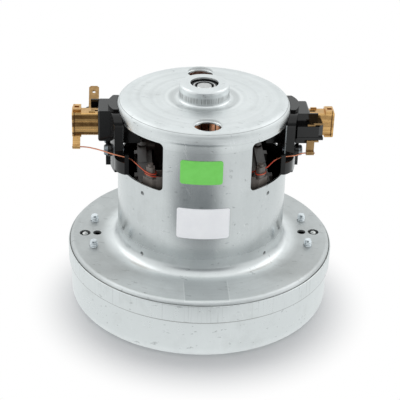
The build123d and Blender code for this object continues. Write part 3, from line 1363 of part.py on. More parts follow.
def helix_place(quarter):
    """A point on the spring's helix and the wire's direction there, in quarter turns."""
    a = math.radians(quarter * QUARTER_TURN)
    x = HELIX_FROM_X + SPRING_PITCH * quarter / 4
    point = Vector(x, SPRING_MIDDLE_R * math.cos(a), BRUSH_Z + SPRING_MIDDLE_R * math.sin(a))
    rise = SPRING_PITCH * QUARTER_TURN / FULL_TURN / math.radians(QUARTER_TURN)
    way = Vector(rise, -SPRING_MIDDLE_R * math.sin(a), SPRING_MIDDLE_R * math.cos(a))
    return point, way


with BuildLine() as spring_line:
    along = Vector(1, 0, 0)
    first_point, first_way = helix_place(0)
    last_point, last_way = helix_place(4 * SPRING_TURNS)
    sideways = Vector(0, 0, SPRING_END_BEND)
    bend_start = first_point - sideways - along * SPRING_END_BEND
    bend_end = last_point + sideways + along * SPRING_END_BEND
    Line(bend_start - along * SPRING_WIRE_D, bend_start)
    biarc(bend_start, along, first_point, first_way)
    for quarter in range(4 * SPRING_TURNS):
        biarc(*helix_place(quarter), *helix_place(quarter + 1))
    biarc(last_point, last_way, bend_end, along)
    Line(bend_end, bend_end + along * SPRING_WIRE_D)
spring_path = spring_line.wire()
brush_spring = wire_solid(spring_path, SPRING_WIRE_D)
print("brush spring, least gap", round(least_gap(spring_path, SPRING_WIRE_D), 2))
save_pair(brush_spring, "brush_spring", FROM_RIGHT)

# Leads: from a crimp on the holder, through a window, round a post and on to a field coil's end
POST_LOOP = 2.55
POST_LOOP_LOW_Z = 76.9
POST_LOOP_STEP_Z = 0.2
COIL_END_RUN = 1.8


def post_loop(post_x, corners):
    """Corners of a wire wound down a front post, each a quarter turn on and a little lower."""
    top_z = POST_LOOP_LOW_Z + POST_LOOP_STEP_Z * (len(corners) - 1)
    return [
        (post_x + dx * POST_LOOP, -POST_Y + dy * POST_LOOP, top_z - POST_LOOP_STEP_Z * i)
        for i, (dx, dy) in enumerate(corners)
    ]


coil_start = coil_points[0]
coil_end = coil_points[-1]
tube_lead_points = [
    (-61.9, -8.3, 82.0),
    (-55.2, -8.3, 82.0),
    (-48.6, -12.2, 82.2),
    (-42.8, -15.9, 81.9),
    (-38.3, -17.9, 81.6),
    (-34.5, -19.0, 81.0),
]
tube_lead_turn = ((-1, 0), (0, -1), (1, -1), (1, 1), (-1, 1))
tube_lead_points += post_loop(-POST_X, tube_lead_turn + tube_lead_turn[:2])
tube_lead_points += [(coil_start[0] - COIL_END_RUN, *coil_start[1:]), coil_start]

terminal_lead_points = [
    (52.4, -12.0, 80.6),
    (46.2, -12.0, 80.6),
    (42.9, -15.4, 81.0),
    (40.2, -16.9, 81.4),
    (36.6, -18.2, 81.6),
    (32.6, -20.0, 81.0),
]
terminal_lead_turn = ((1, 1), (-1, 1), (-1, -1), (0, -1), (1, 0))
terminal_lead_points += post_loop(POST_X, terminal_lead_turn + terminal_lead_turn[:2])
terminal_lead_points += [(coil_end[0] + COIL_END_RUN, *coil_end[1:]), coil_end]

LEADS = (
    ("tube_lead", tube_lead_points, FROM_LEFT),
    ("terminal_lead", terminal_lead_points, FROM_RIGHT),
)
for kind, points, places in LEADS:
    radii = bend_radii(points)
    print(kind, "bend radii", [round(radius, 1) for radius in radii])
    with BuildLine() as lead_line:
        FilletPolyline(*points, radius=radii)
    lead_path = lead_line.wire()
    lead = wire_solid(lead_path, LEAD_D)
    print(kind, "length", round(lead_path.length, 1))
    print(kind, "least gap", round(least_gap(lead_path, LEAD_D), 2))
    save_pair(lead, kind, places)

# Labels: two bare stickers on the can's front
LABEL_SHEET = 0.12
LABEL_CORNER_RADIUS = 1.2
LABEL_INNER_R = CAN_R + 0.08
LABELS = (
    ("upper_label", 78.6, 90.3, -94.1, 27.4),
    ("lower_label", 50.45, 66.0, -92.1, 34.7),
)

for label_name, low_z, high_z, middle_angle, spread in LABELS:
    with BuildPart() as label:
        with BuildSketch(Plane.XZ):
            with Locations((LABEL_INNER_R + LABEL_SHEET / 2, (low_z + high_z) / 2)):
                Rectangle(LABEL_SHEET, high_z - low_z)
        revolve(axis=Axis.Z, revolution_arc=spread)
        corner_edges = label.edges().filter_by(GeomType.LINE).group_by(SortBy.LENGTH)[0]
        fillet(corner_edges, LABEL_CORNER_RADIUS)
    label_part = label.part.rotate(Axis.Z, middle_angle - spread / 2)
    label_part.label = label_name
    export_step(label_part, f"parts/{label_name}.step")
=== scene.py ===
"""Looks of a vacuum turbine motor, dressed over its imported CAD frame.

Lengths of the object are written in millimetres and made metres where a mesh is built. The motor's
axis is Z, the brushes lie along X, and the photographed side looks to -Y.
"""
import json
import math

import bmesh
import bpy
import numpy as np
from mathutils import Matrix, Vector

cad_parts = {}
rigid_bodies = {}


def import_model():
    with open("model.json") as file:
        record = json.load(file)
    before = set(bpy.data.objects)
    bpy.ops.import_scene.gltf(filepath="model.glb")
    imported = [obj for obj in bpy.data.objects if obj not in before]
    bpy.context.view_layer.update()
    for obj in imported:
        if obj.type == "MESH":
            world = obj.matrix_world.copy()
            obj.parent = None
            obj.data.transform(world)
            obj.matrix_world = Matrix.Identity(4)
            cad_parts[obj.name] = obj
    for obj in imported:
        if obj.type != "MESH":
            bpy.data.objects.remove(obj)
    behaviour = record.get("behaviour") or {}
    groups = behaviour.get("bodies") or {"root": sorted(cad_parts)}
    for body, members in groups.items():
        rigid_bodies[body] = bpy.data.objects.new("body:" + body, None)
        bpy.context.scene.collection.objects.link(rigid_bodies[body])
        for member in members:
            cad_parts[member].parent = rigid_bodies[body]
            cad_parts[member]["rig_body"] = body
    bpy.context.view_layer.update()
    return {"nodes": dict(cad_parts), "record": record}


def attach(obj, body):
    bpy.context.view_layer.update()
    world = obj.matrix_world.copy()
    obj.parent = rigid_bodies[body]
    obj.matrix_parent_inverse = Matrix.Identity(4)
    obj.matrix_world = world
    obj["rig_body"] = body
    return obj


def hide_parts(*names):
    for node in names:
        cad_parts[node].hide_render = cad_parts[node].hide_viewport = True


MM = 0.001
FULL_TURN = 2 * math.pi
QUARTER_TURN = math.pi / 2

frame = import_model()
BODY_OF = {node: obj["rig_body"] for node, obj in frame["nodes"].items()}
SLOT_OF = {part["node"]: part["material_slot"] for part in frame["record"]["subparts"]}


# Finishes: node trees written as plain sums

NEAR_AXIS = 0.01
NOISE_MIDDLE = 0.5


class Amount:
    """A number that varies over a surface, so that a finish can be written as sums."""

    def __init__(self, finish, socket):
        self.finish = finish
        self.socket = socket

    def apply(self, operation, *others):
        """The Math node of an operation on this amount and any others."""
        return self.finish.sum_of(operation, self, *others)

    def scaled(self, least, more):
        """A least value, and up to so much more of it where this amount is 1."""
        return self * more + least

    def __add__(self, other):
        return self.apply("ADD", other)

    def __sub__(self, other):
        return self.apply("SUBTRACT", other)

    def __mul__(self, other):
        return self.apply("MULTIPLY", other)

    def __truediv__(self, other):
        return self.apply("DIVIDE", other)

    def __pow__(self, other):
        return self.apply("POWER", other)

    def __abs__(self):
        return self.apply("ABSOLUTE")

    def __radd__(self, other):
        return self.finish.sum_of("ADD", other, self)

    def __rsub__(self, other):
        return self.finish.sum_of("SUBTRACT", other, self)


class Finish:
    """One material on the object's own coordinates, which it reads in millimetres."""

    def __init__(self, name):
        self.material = bpy.data.materials.new(name)
        self.material.use_nodes = True
        self.tree = self.material.node_tree
        self.tree.nodes.clear()
        coordinates = self.node("TexCoord")
        scaled = self.node(
            "VectorMath", {"operation": "SCALE"}, coordinates.outputs["Object"], Scale=1 / MM
        )
        self.place = scaled.outputs[0]
        split = self.node("SeparateXYZ", None, self.place)
        self.x, self.y, self.z = (Amount(self, socket) for socket in split.outputs)

    def node(self, kind, settings=None, *inputs, **named):
        """A node of a kind, its settings, then the values or links of its sockets."""
        made = self.tree.nodes.new("ShaderNode" + kind)
        for key, value in (settings or {}).items():
            setattr(made, key, value)
        filled = [(made.inputs[i], value) for i, value in enumerate(inputs)]
        filled += [(made.inputs[key.replace("_", " ")], value) for key, value in named.items()]
        for socket, value in filled:
            self.feed(socket, value)
        return made

    def feed(self, socket, value):
        """Link a socket to an amount or another socket, or set its plain value."""
        if isinstance(value, Amount):
            value = value.socket
        if isinstance(value, bpy.types.NodeSocket):
            self.tree.links.new(value, socket)
        elif isinstance(value, tuple) and len(value) == 3 and socket.type == "RGBA":
            socket.default_value = (*value, 1)
        else:
            socket.default_value = value

    def sum_of(self, operation, *terms):
        """The amount that a Math node makes of its terms."""
        return Amount(self, self.node("Math", {"operation": operation}, *terms).outputs[0])

    def vector(self, x, y, z):
        """A vector from three amounts."""
        return self.node("CombineXYZ", None, x, y, z).outputs[0]

    def from_axis(self):
        """The distance from the motor's axis, never quite zero."""
        return (self.x * self.x + self.y * self.y + NEAR_AXIS) ** 0.5

    def noise(self, per_mm=1.0, detail=2.0, roughness=0.5, place=None):
        """Soft noise from 0 to 1, with its scale per millimetre."""
        made = self.node(
            "TexNoise", None, Vector=place or self.place, Scale=per_mm, Detail=detail,
            Roughness=roughness,
        )
        return Amount(self, made.outputs["Fac"])

    def around(self, turn_scale, z_scale):
        """Coordinates that wrap round the motor's axis without a seam, for marks along it."""
        r = self.from_axis()
        return self.vector(
            self.x / r * turn_scale, self.y / r * turn_scale, self.z * z_scale
        )

    def stretched(self, *rows):
        """The object's coordinates times a matrix's rows, for marks that run one way."""
        dots = [self.node("VectorMath", {"operation": "DOT_PRODUCT"}, self.place, row)
                for row in rows]
        return self.vector(*(Amount(self, dot.outputs["Value"]) for dot in dots))

    def step(self, amount, low, high):
        """0 below low, 1 above high and smooth between them."""
        made = self.node(
            "MapRange", {"interpolation_type": "SMOOTHSTEP", "clamp": True}, amount, low, high
        )
        return Amount(self, made.outputs[0])

    def near(self, amount, middle, half, fade):
        """1 within half of a middle value and 0 beyond a fade."""
        return 1 - self.step(abs(amount - middle), half, half + fade)

    def mix(self, factor, first, second):
        """A colour between two colours."""
        made = self.node("Mix", {"data_type": "RGBA"})
        self.feed(made.inputs[0], factor)
        self.feed(made.inputs[6], first)
        self.feed(made.inputs[7], second)
        return made.outputs[2]

    def mark(self, colour, where, tint, amount):
        """A colour with a share of a tint in it where there is a mark."""
        return self.mix(where * amount, colour, tint)

    def bump(self, height, depth, under=None):
        """A normal from a height, with the bump's depth in millimetres."""
        made = self.node("Bump", None, Height=height, Distance=depth * MM)
        if under is not None:
            self.feed(made.inputs["Normal"], under)
        return made.outputs[0]

    def surface(self, colour, **sockets):
        """Finish the material with a Principled surface."""
        shader = self.node("BsdfPrincipled", None, Base_Color=colour, **sockets)
        output = self.node("OutputMaterial")
        self.tree.links.new(shader.outputs[0], output.inputs[0])
        return self.material


def blend(first, second, share):
    """A share of one amount and the rest of another."""
    return first * share + second * (1 - share)


def length_of(first, *others):
    """The length of a vector with these amounts."""
    total = first * first
    for amount in others:
        total = total + amount * amount
    return total ** 0.5


# Sheet steel: what the can and the fan case share

SCRATCH_WHITE = (0.84, 0.86, 0.86)
SMUDGE_GREY = (0.4, 0.41, 0.4)
NICK_GREY = (0.2, 0.21, 0.21)
SCRATCH_FROM = (0.67, 0.7)
NICK_FROM = (0.67, 0.7)
NICK_GRAIN = (0.4, 0.6)
SMUDGE_FROM = (0.5, 0.72)
TONE_RANGE = (0.3, 0.7)
DRAWN_SHARE, CLOUD_SHARE, GRAIN_SHARE = 0.45, 0.37, 0.18
DRAWN_ROUGH, CLOUD_ROUGH, GRAIN_SMOOTH, SCRATCH_ROUGH = 0.12, 0.08, 0.04, 0.05
FLAT_ROUGH = 0.08
WALL_FADE_IN, WALL_FADE_OUT = (0, 3), (-2, 1)
RING_SCALE, RING_DRIFT, RING_CONTRAST = 0.55, 0.012, 0.5
SCRATCH_ROWS = (0.9, 0, 0.35), (0, 0.9, 0), (0, 0, 0.11)
NICK_ROWS = (0.16, -0.07, 0), (0.2, 0.6, 0), (0, 0, 0.5)
GRAIN_HEIGHT = 0.4
SHEET_BUMP = 0.006


def drawn_steel(name, dark, light, rough, wall, marks):
    """Zinc-plated sheet: draw marks up its wall, faint rings where it is flat, and scuffs."""
    f = Finish(name)
    r = f.from_axis()
    rising = f.step(f.z - wall[0], *WALL_FADE_IN)
    on_wall = rising * (1 - f.step(f.z - wall[1], *WALL_FADE_OUT))
    fine = f.noise(detail=3, roughness=0.6, place=f.around(turn_scale=95, z_scale=0.05))
    broad = f.noise(place=f.around(turn_scale=13, z_scale=0.02))
    ring_place = f.vector(r * RING_SCALE, f.x * RING_DRIFT, f.y * RING_DRIFT)
    rings = NOISE_MIDDLE + (f.noise(detail=3, place=ring_place) - NOISE_MIDDLE) * RING_CONTRAST
    cloud = f.noise(per_mm=0.055, detail=4, roughness=0.6)
    grain = f.noise(per_mm=3.4, roughness=0.6)
    drawn = (blend(fine, broad, share=0.6) * marks - rings) * on_wall + rings
    scratched = f.noise(detail=3, roughness=0.55, place=f.stretched(*SCRATCH_ROWS))
    scratch = f.step(scratched, *SCRATCH_FROM)
    nicked = f.noise(place=f.stretched(*NICK_ROWS))
    nick = f.step(nicked, *NICK_FROM) * f.step(grain, *NICK_GRAIN)
    smudge = f.step(f.noise(per_mm=0.09, detail=5, roughness=0.7), *SMUDGE_FROM)
    tone = f.step(drawn * DRAWN_SHARE + cloud * CLOUD_SHARE + grain * GRAIN_SHARE, *TONE_RANGE)
    colour = f.mix(tone, dark, light)
    colour = f.mark(colour, smudge, SMUDGE_GREY, amount=0.16)
    colour = f.mark(colour, scratch, SCRATCH_WHITE, amount=0.4)
    colour = f.mark(colour, nick, NICK_GREY, amount=0.55)
    uneven = drawn * DRAWN_ROUGH + cloud * CLOUD_ROUGH
    uneven = uneven - grain * GRAIN_SMOOTH + scratch * SCRATCH_ROUGH
    roughness = rough + uneven + (1 - on_wall) * FLAT_ROUGH
    return f, r, colour, roughness, drawn + grain * GRAIN_HEIGHT


# The can's own marks: places in millimetres, and pairs of a least share and what is added to it

CAN_DARK, CAN_LIGHT = (0.66, 0.685, 0.69), (0.82, 0.845, 0.85)
CAN_WALL_Z = (38, 100)
CAN_WALL_END_R = (41.0, 43.0)
CAN_WALL_END_Z = (92.0, 97.0)
FLANGE_FROM_R = (44.0, 50.0)
RIM_FROM_Z = (98.0, 101.0)
RIM_FROM_R = (33.5, 37.5)
WALL_GREY = (0.3, 0.315, 0.32)
STAIN_GREY = (0.3, 0.31, 0.305)
STAINED = (0.26, 0.34)
WIPED_Y = (36.0, 50.0)
WIPED_CLEAN = 0.85
FLANGE_ROUGHER, RIM_ROUGHER = 0.2, 0.16

TOP_HOLE_Y = 31.0
TOP_HOLE_END_R = (6.9, 7.4)
HOLE_COLLAR_Z = (100.6, 101.4)
HOLE_EDGE_Z = (101.6, 103.4)
HOLE_ROUNDING = 0.75
INSIDE_END_R = (39.75, 39.95)
INSIDE_FROM_Z = (31, 32)
INSIDE_END_Z = (102.8, 103.1)
# grey of the painted shade on the can's inner side
INSIDE_SHADE_GREY = (0.1, 0.1, 0.1)

PATCH_HALF_X, PATCH_HALF_Y = 10.2, 9.8
PATCH_Y = -52.7
PATCH_EDGE = (-0.3, 0.1)
PATCH_ROWS = (0.06, 0, 0), (0, 2.6, 0), (0, 0, 1)
PATCH_BRUSHED = (0.1, 0.35)
PATCH_LINE_HEIGHT = 2
PATCH_GREY, PATCH_LINE_WHITE = (0.4, 0.43, 0.44), (0.85, 0.87, 0.87)

BOSS_FROM_R, BOSS_END_R = (11.3, 11.6), (12.0, 12.3)
BOSS_SCORE_Z = 106.6
BOSS_SCORE_FROM = (0.4, 0.62)
BOSS_SCORED = (0.14, 0.46)
SCORE_GREY = (0.13, 0.12, 0.11)

TOP_FROM_Z = (103.2, 103.6)
DISH_RINGS = (
    {"middle": 15.2, "half": 0.5, "fade": 1.8, "share": 0.34},
    {"middle": 25.0, "half": 0.1, "fade": 1.4, "share": 0.09},
    {"middle": 31.0, "half": 0.1, "fade": 1.2, "share": 0.07},
)
SHOULDER_R = 17.8
# grey of the painted shade in the dish and its two faint rings, and white of the painted highlight
# on its shoulder
DISH_SHADE_AND_RING_GREY, SHOULDER_HIGHLIGHT = (0.3, 0.31, 0.31), (0.9, 0.92, 0.92)
DRAW_LINE_Z = (93.6, 97.4)
DRAW_LINE_DEPTH = 0.3
DRAW_LINE_GREY = (0.32, 0.34, 0.34)

DIMPLE_PLACE = (29.13, 28.13)
DIMPLE_HEIGHTS = (35.4, 67.8)
DIMPLE_END_R = (0.75, 1.15)
# grey of the painted shade in the dimples
DIMPLE_SHADE_GREY = (0.08, 0.08, 0.08)


def flange_stain(f, colour, on_flange):
    """Stains on the flange, wiped off on the photographed side."""
    stain = f.noise(per_mm=0.12, detail=4, roughness=0.65)
    wiped = f.step(0 - f.y, *WIPED_Y)
    stained = on_flange * stain.scaled(*STAINED) * (1 - wiped * WIPED_CLEAN)
    return f.mix(stained, colour, STAIN_GREY)


def painted_inside_shade(f, r, colour, in_hole):
    """Painted shade on the sheet's inner side, apart from the collars of the top's holes."""
    inside = (1 - f.step(r, *INSIDE_END_R)) * (1 - f.step(f.z, *INSIDE_END_Z))
    inside = inside * f.step(f.z, *INSIDE_FROM_Z)
    inside = inside * (1 - in_hole * f.step(f.z, *HOLE_COLLAR_Z))
    return f.mark(colour, inside, INSIDE_SHADE_GREY, amount=0.75)


def flange_patch(f, colour, on_flange):
    """The brushed patch pressed into the flange, and the line round it."""
    past_side = abs(f.x) - PATCH_HALF_X
    past_end = abs(f.y - PATCH_Y) - PATCH_HALF_Y
    edge = past_side.apply("MAXIMUM", past_end)
    line = f.near(edge, 0, half=0.12, fade=0.3) * on_flange
    patch = (1 - f.step(edge, *PATCH_EDGE)) * on_flange
    brushed = f.noise(detail=3, roughness=0.6, place=f.stretched(*PATCH_ROWS))
    colour = f.mix(patch * brushed.scaled(*PATCH_BRUSHED), colour, PATCH_GREY)
    return f.mark(colour, line, PATCH_LINE_WHITE, amount=0.5), line


def boss_scores(f, r, colour):
    """Upright scores in a band round the boss."""
    boss_side = (1 - f.step(r, *BOSS_END_R)) * f.step(r, *BOSS_FROM_R)
    band = f.near(f.z, BOSS_SCORE_Z, half=0.7, fade=1.3) * boss_side
    scored = f.noise(detail=3, roughness=0.65, place=f.around(turn_scale=40, z_scale=0.12))
    score = f.step(scored, *BOSS_SCORE_FROM)
    return f.mix(band * score.scaled(*BOSS_SCORED), colour, SCORE_GREY)


def top_rings(f, r, colour):
    """Painted shade in the dish round the boss with a painted highlight on its shoulder, and two
    faint darker rings outside it.
    """
    on_top = f.step(f.z, *TOP_FROM_Z)
    dish = sum(f.near(r, ring["middle"], ring["half"], ring["fade"]) * ring["share"]
               for ring in DISH_RINGS)
    colour = f.mix(dish * on_top, colour, DISH_SHADE_AND_RING_GREY)
    shoulder = f.near(r, SHOULDER_R, half=0.2, fade=0.9) * on_top
    return f.mark(colour, shoulder, SHOULDER_HIGHLIGHT, amount=0.35)


def dimples(f, colour):
    """Painted shade in the middles of the dimples punched into the can's wall."""
    across = abs(f.x) - DIMPLE_PLACE[0]
    along = abs(f.y) - DIMPLE_PLACE[1]
    low, high = (abs(f.z - height) for height in DIMPLE_HEIGHTS)
    away = length_of(across, along, low.apply("MINIMUM", high))
    return f.mark(colour, 1 - f.step(away, *DIMPLE_END_R), DIMPLE_SHADE_GREY, amount=0.75)


def can_steel():
    """The can's sheet, with painted shade inside it, and a pressed patch on its flange."""
    f, r, colour, rough, height = drawn_steel(
        "can_steel", CAN_DARK, CAN_LIGHT, rough=0.17, wall=CAN_WALL_Z, marks=0.55
    )
    on_wall = (1 - f.step(r, *CAN_WALL_END_R)) * (1 - f.step(f.z, *CAN_WALL_END_Z))
    on_flange = f.step(r, *FLANGE_FROM_R)
    on_rim = f.step(f.z, *RIM_FROM_Z) * f.step(r, *RIM_FROM_R)
    in_hole = 1 - f.step(length_of(f.x, abs(f.y) - TOP_HOLE_Y), *TOP_HOLE_END_R)
    low_line, high_line = (f.near(f.z, z, half=0.1, fade=0.3) for z in DRAW_LINE_Z)
    draw_line = low_line + high_line
    colour = f.mark(colour, on_wall, WALL_GREY, amount=0.24)
    colour = flange_stain(f, colour, on_flange)
    # painted shade inside the can
    colour = painted_inside_shade(f, r, colour, in_hole)
    colour, patch_line = flange_patch(f, colour, on_flange)
    colour = boss_scores(f, r, colour)
    colour = top_rings(f, r, colour)
    colour = f.mark(colour, draw_line, DRAW_LINE_GREY, amount=0.1)
    colour = dimples(f, colour)
    rough = rough + on_flange * FLANGE_ROUGHER + on_rim * RIM_ROUGHER
    height = height - draw_line * DRAW_LINE_DEPTH + patch_line * PATCH_LINE_HEIGHT
    turned_in = in_hole * f.step(f.z, *HOLE_EDGE_Z) * HOLE_ROUNDING
    rounded = f.mix(turned_in, f.node("NewGeometry").outputs["Normal"], (0.0, 0.0, 1.0))
    normal = f.bump(height, SHEET_BUMP, under=rounded)
    return f.surface(colour, Metallic=1.0, Roughness=rough, Normal=normal)


# The fan case's own marks

FAN_DARK, FAN_LIGHT = (0.67, 0.695, 0.7), (0.79, 0.815, 0.82)
FAN_WALL_Z = (3, 30)
BAND_FROM_Z = (20.0, 20.4)
BAND_SCORE_FROM = (0.56, 0.68)
FOLD_Z = 19.7
FOLD_FROM_R = (63.6, 63.9)
SEAM_FROM_Z = (28.5, 28.7)
SEAM_END_R = (64.4, 64.7)
RUST_FROM = (0.62, 0.7)
# painted shade in the fold of the band's step and in the seam's gap: shares and greys
FOLD_SHADE_SHARE, SEAM_SHADE_SHARE = (0.35, 0.6), (0.55, 0.5)
BAND_GREY, FOLD_SHADE_GREY, SEAM_SHADE_GREY = (0.42, 0.44, 0.43), (0.14, 0.13, 0.12), (0.1, 0.09, 0.075)
RUST = (0.25, 0.12, 0.04)


def fan_steel():
    """The fan case's sheet, with painted shade in its step and on the seam that holds the can."""
    f, r, colour, rough, height = drawn_steel(
        "fan_case_steel", FAN_DARK, FAN_LIGHT, rough=0.25, wall=FAN_WALL_Z, marks=0.35
    )
    on_band = f.step(f.z, *BAND_FROM_Z)
    scored = f.noise(detail=3, roughness=0.65, place=f.around(turn_scale=70, z_scale=0.03))
    score = on_band * f.step(scored, *BAND_SCORE_FROM)
    spread = f.noise(detail=3, roughness=0.6, place=f.around(turn_scale=7, z_scale=0.3))
    fold = f.near(f.z, FOLD_Z, half=0.5, fade=0.25) * f.step(r, *FOLD_FROM_R)
    seam = f.step(f.z, *SEAM_FROM_Z) * (1 - f.step(r, *SEAM_END_R))
    rust = f.step(f.noise(place=f.around(turn_scale=24, z_scale=0.1)), *RUST_FROM)
    colour = f.mark(colour, score, BAND_GREY, amount=0.28)
    # painted shade in the step's fold and the seam's gap
    colour = f.mix(fold * spread.scaled(*FOLD_SHADE_SHARE), colour, FOLD_SHADE_GREY)
    colour = f.mix(seam * spread.scaled(*SEAM_SHADE_SHARE), colour, SEAM_SHADE_GREY)
    colour = f.mark(colour, seam * rust, RUST, amount=0.5)
    normal = f.bump(height - score, SHEET_BUMP)
    return f.surface(colour, Metallic=1.0, Roughness=rough, Normal=normal)


# Other metals, wire, plastics and paper; a roughness is a least value and what is added to it

PLAIN_TONE = (0.35, 0.65)
CLOUD_MORE, SKIN_MORE, SKIN_CLOUD = 0.12, 0.12, 0.06
BRIDGE_ROUGH, ENAMEL_ROUGH, WIRE_ROUGH = (0.3, 0.12), (0.16, 0.1), (0.2, 0.12)
PAPER_ROUGH = (0.42, 0.12)
ENAMEL_METAL = 0.35
BRIGHT_METAL = (0.6, 0.61, 0.6)
# black of the bearing's inner ring, and the painted highlight on its face
RING_BLACK, RING_HIGHLIGHT = (0.02, 0.02, 0.02), (0.66, 0.65, 0.65)
RING_HIGHLIGHT_R = 4.925
# black of the painted shade on the bridge
BRIDGE_SHADE_BLACK = (0.045, 0.045, 0.045)
PEG_FROM_Z = (30.2, 30.5)
ENAMEL_DARK, ENAMEL_LIGHT = (0.34, 0.02, 0.008), (0.62, 0.07, 0.025)
WIRE_DARK, WIRE_LIGHT = (0.5, 0.17, 0.09), (0.72, 0.3, 0.18)
BARE_FADE = 1.5
# grey and fade of the painted shade low down on a moulding
LOW_SHADE_GREY = (0.03, 0.028, 0.026)
LOW_SHADE_FADE = 3


def plain_metal(name, dark, light, rough):
    """A bright metal with uneven tarnish and fine grain."""
    f = Finish(name)
    cloud = f.noise(per_mm=0.25, detail=4, roughness=0.6)
    grain = f.noise(per_mm=2.0, detail=3, roughness=0.6)
    colour = f.mix(f.step(blend(cloud, grain, share=0.6), *PLAIN_TONE), dark, light)
    roughness = cloud.scaled(rough, CLOUD_MORE)
    return f.surface(colour, Metallic=1.0, Roughness=roughness, Normal=f.bump(grain, depth=0.01))


def black_ring_highlight():
    """The upper bearing's inner ring, black, with a painted highlight in a line on its face."""
    f = Finish("black_ring_highlight")
    bright = f.near(f.from_axis(), RING_HIGHLIGHT_R, half=0.225, fade=0.15)
    colour = f.mix(bright, RING_BLACK, RING_HIGHLIGHT)
    return f.surface(colour, Metallic=1.0, Roughness=0.34)


def shaded_bridge():
    """The bridge's steel, black as painted shade, but for the tops of its two pegs."""
    f = Finish("shaded_bridge")
    cloud = f.noise(per_mm=0.25, detail=4, roughness=0.6)
    colour = f.mix(f.step(f.z, *PEG_FROM_Z), BRIDGE_SHADE_BLACK, BRIGHT_METAL)
    return f.surface(colour, Metallic=1.0, Roughness=cloud.scaled(*BRIDGE_ROUGH))


def coil_wire(name, bare_from=None):
    """Red enamelled wire, bare copper outside a distance from the axis."""
    f = Finish(name)
    cloud = f.noise(per_mm=0.6, detail=3, roughness=0.6)
    enamel = f.mix(cloud, ENAMEL_DARK, ENAMEL_LIGHT)
    if bare_from is None:
        return f.surface(enamel, Roughness=cloud.scaled(*ENAMEL_ROUGH), Metallic=ENAMEL_METAL)
    out = f.step(f.from_axis(), bare_from - BARE_FADE, bare_from + BARE_FADE)
    colour = f.mix(out, enamel, f.mix(cloud, WIRE_DARK, WIRE_LIGHT))
    metallic = out.scaled(ENAMEL_METAL, 1 - ENAMEL_METAL)
    return f.surface(colour, Roughness=cloud.scaled(*WIRE_ROUGH), Metallic=metallic)


def moulding(name, dark, light, rough, gloss=0.5, shaded_below=None):
    """A moulded plastic with a slightly uneven skin, and painted shade low down."""
    f = Finish(name)
    cloud = f.noise(per_mm=0.12, detail=3, roughness=0.6)
    skin = f.noise(per_mm=1.6, detail=3, roughness=0.6)
    colour = f.mix(f.step(cloud, *PLAIN_TONE), dark, light)
    if shaded_below is not None:
        low_shade = 1 - f.step(f.z, shaded_below - LOW_SHADE_FADE, shaded_below)
        colour = f.mark(colour, low_shade, LOW_SHADE_GREY, amount=0.55)
    roughness = skin.scaled(rough, SKIN_MORE) + cloud * SKIN_CLOUD
    normal = f.bump(skin, depth=0.012)
    return f.surface(colour, Roughness=roughness, Normal=normal, Specular_IOR_Level=gloss)


def paper(name, dark, light):
    """A paper label, left bare."""
    f = Finish(name)
    fibre = f.noise(per_mm=2.5, detail=4, roughness=0.7)
    cloud = f.noise(per_mm=0.15, detail=3, roughness=0.6)
    colour = f.mix(f.step(blend(cloud, fibre, share=0.7), *PLAIN_TONE), dark, light)
    roughness = fibre.scaled(*PAPER_ROUGH)
    return f.surface(colour, Roughness=roughness, Normal=f.bump(fibre, depth=0.006))


# Brass: painted reflections along the brush tubes, bright strips with darker stretches between them
# where the tube is sunken

# heights of the bright bands of painted reflection on the brush tubes
TUBE_REFLECTION_BANDS = (
    {"middle": 85.2, "half": 0.9, "fade": 0.5, "share": 0.28},
    {"middle": 88.8, "half": 1.2, "fade": 0.4, "share": 0.55},
    {"middle": 93.1, "half": 0.6, "fade": 0.4, "share": 0.32},
    {"middle": 97.4, "half": 1.0, "fade": 0.5, "share": 0.6},
)
REFLECTION_DARK_TONE = 0.26
TUBE_WALL_Y = 3.75
TUBE_FROM_Z = (85.2, 85.5)
TUBE_END_X = 60.75
REFLECTION_MIDDLE = 0.62
BRASS_MIDDLE = 0.66
LEFT_CONTRAST, RIGHT_LESS = 1.15, 0.7
RIGHT_FROM_X = (-5.0, 5.0)
ALONG_ROWS = (0.06, 0, 0), (0, 1.4, 0), (0, 0, 1.4)
ALONG_SHARE, BLOTCH_SHARE = 0.35, 0.5
SPOT_FROM = (0.64, 0.7)
SPOT_SHARE, END_LINE_SHARE = 0.5, 0.85
BRASS_ROUGH, TERMINAL_ROUGH = (0.2, 0.15), (0.42, 0.12)
BRASS_DARK, BRASS_LIGHT, BRASS_SPOT = (0.09, 0.035, 0.01), (0.82, 0.5, 0.2), (0.1, 0.045, 0.02)
TERMINAL_DARK, TERMINAL_LIGHT = (0.33, 0.2, 0.085), (0.47, 0.3, 0.14)


def tube_reflection_tone(f):
    """The tone of the painted reflections at each height of a brush tube."""
    return REFLECTION_DARK_TONE + sum(
        f.near(f.z, strip["middle"], strip["half"], strip["fade"]) * strip["share"]
        for strip in TUBE_REFLECTION_BANDS
    )


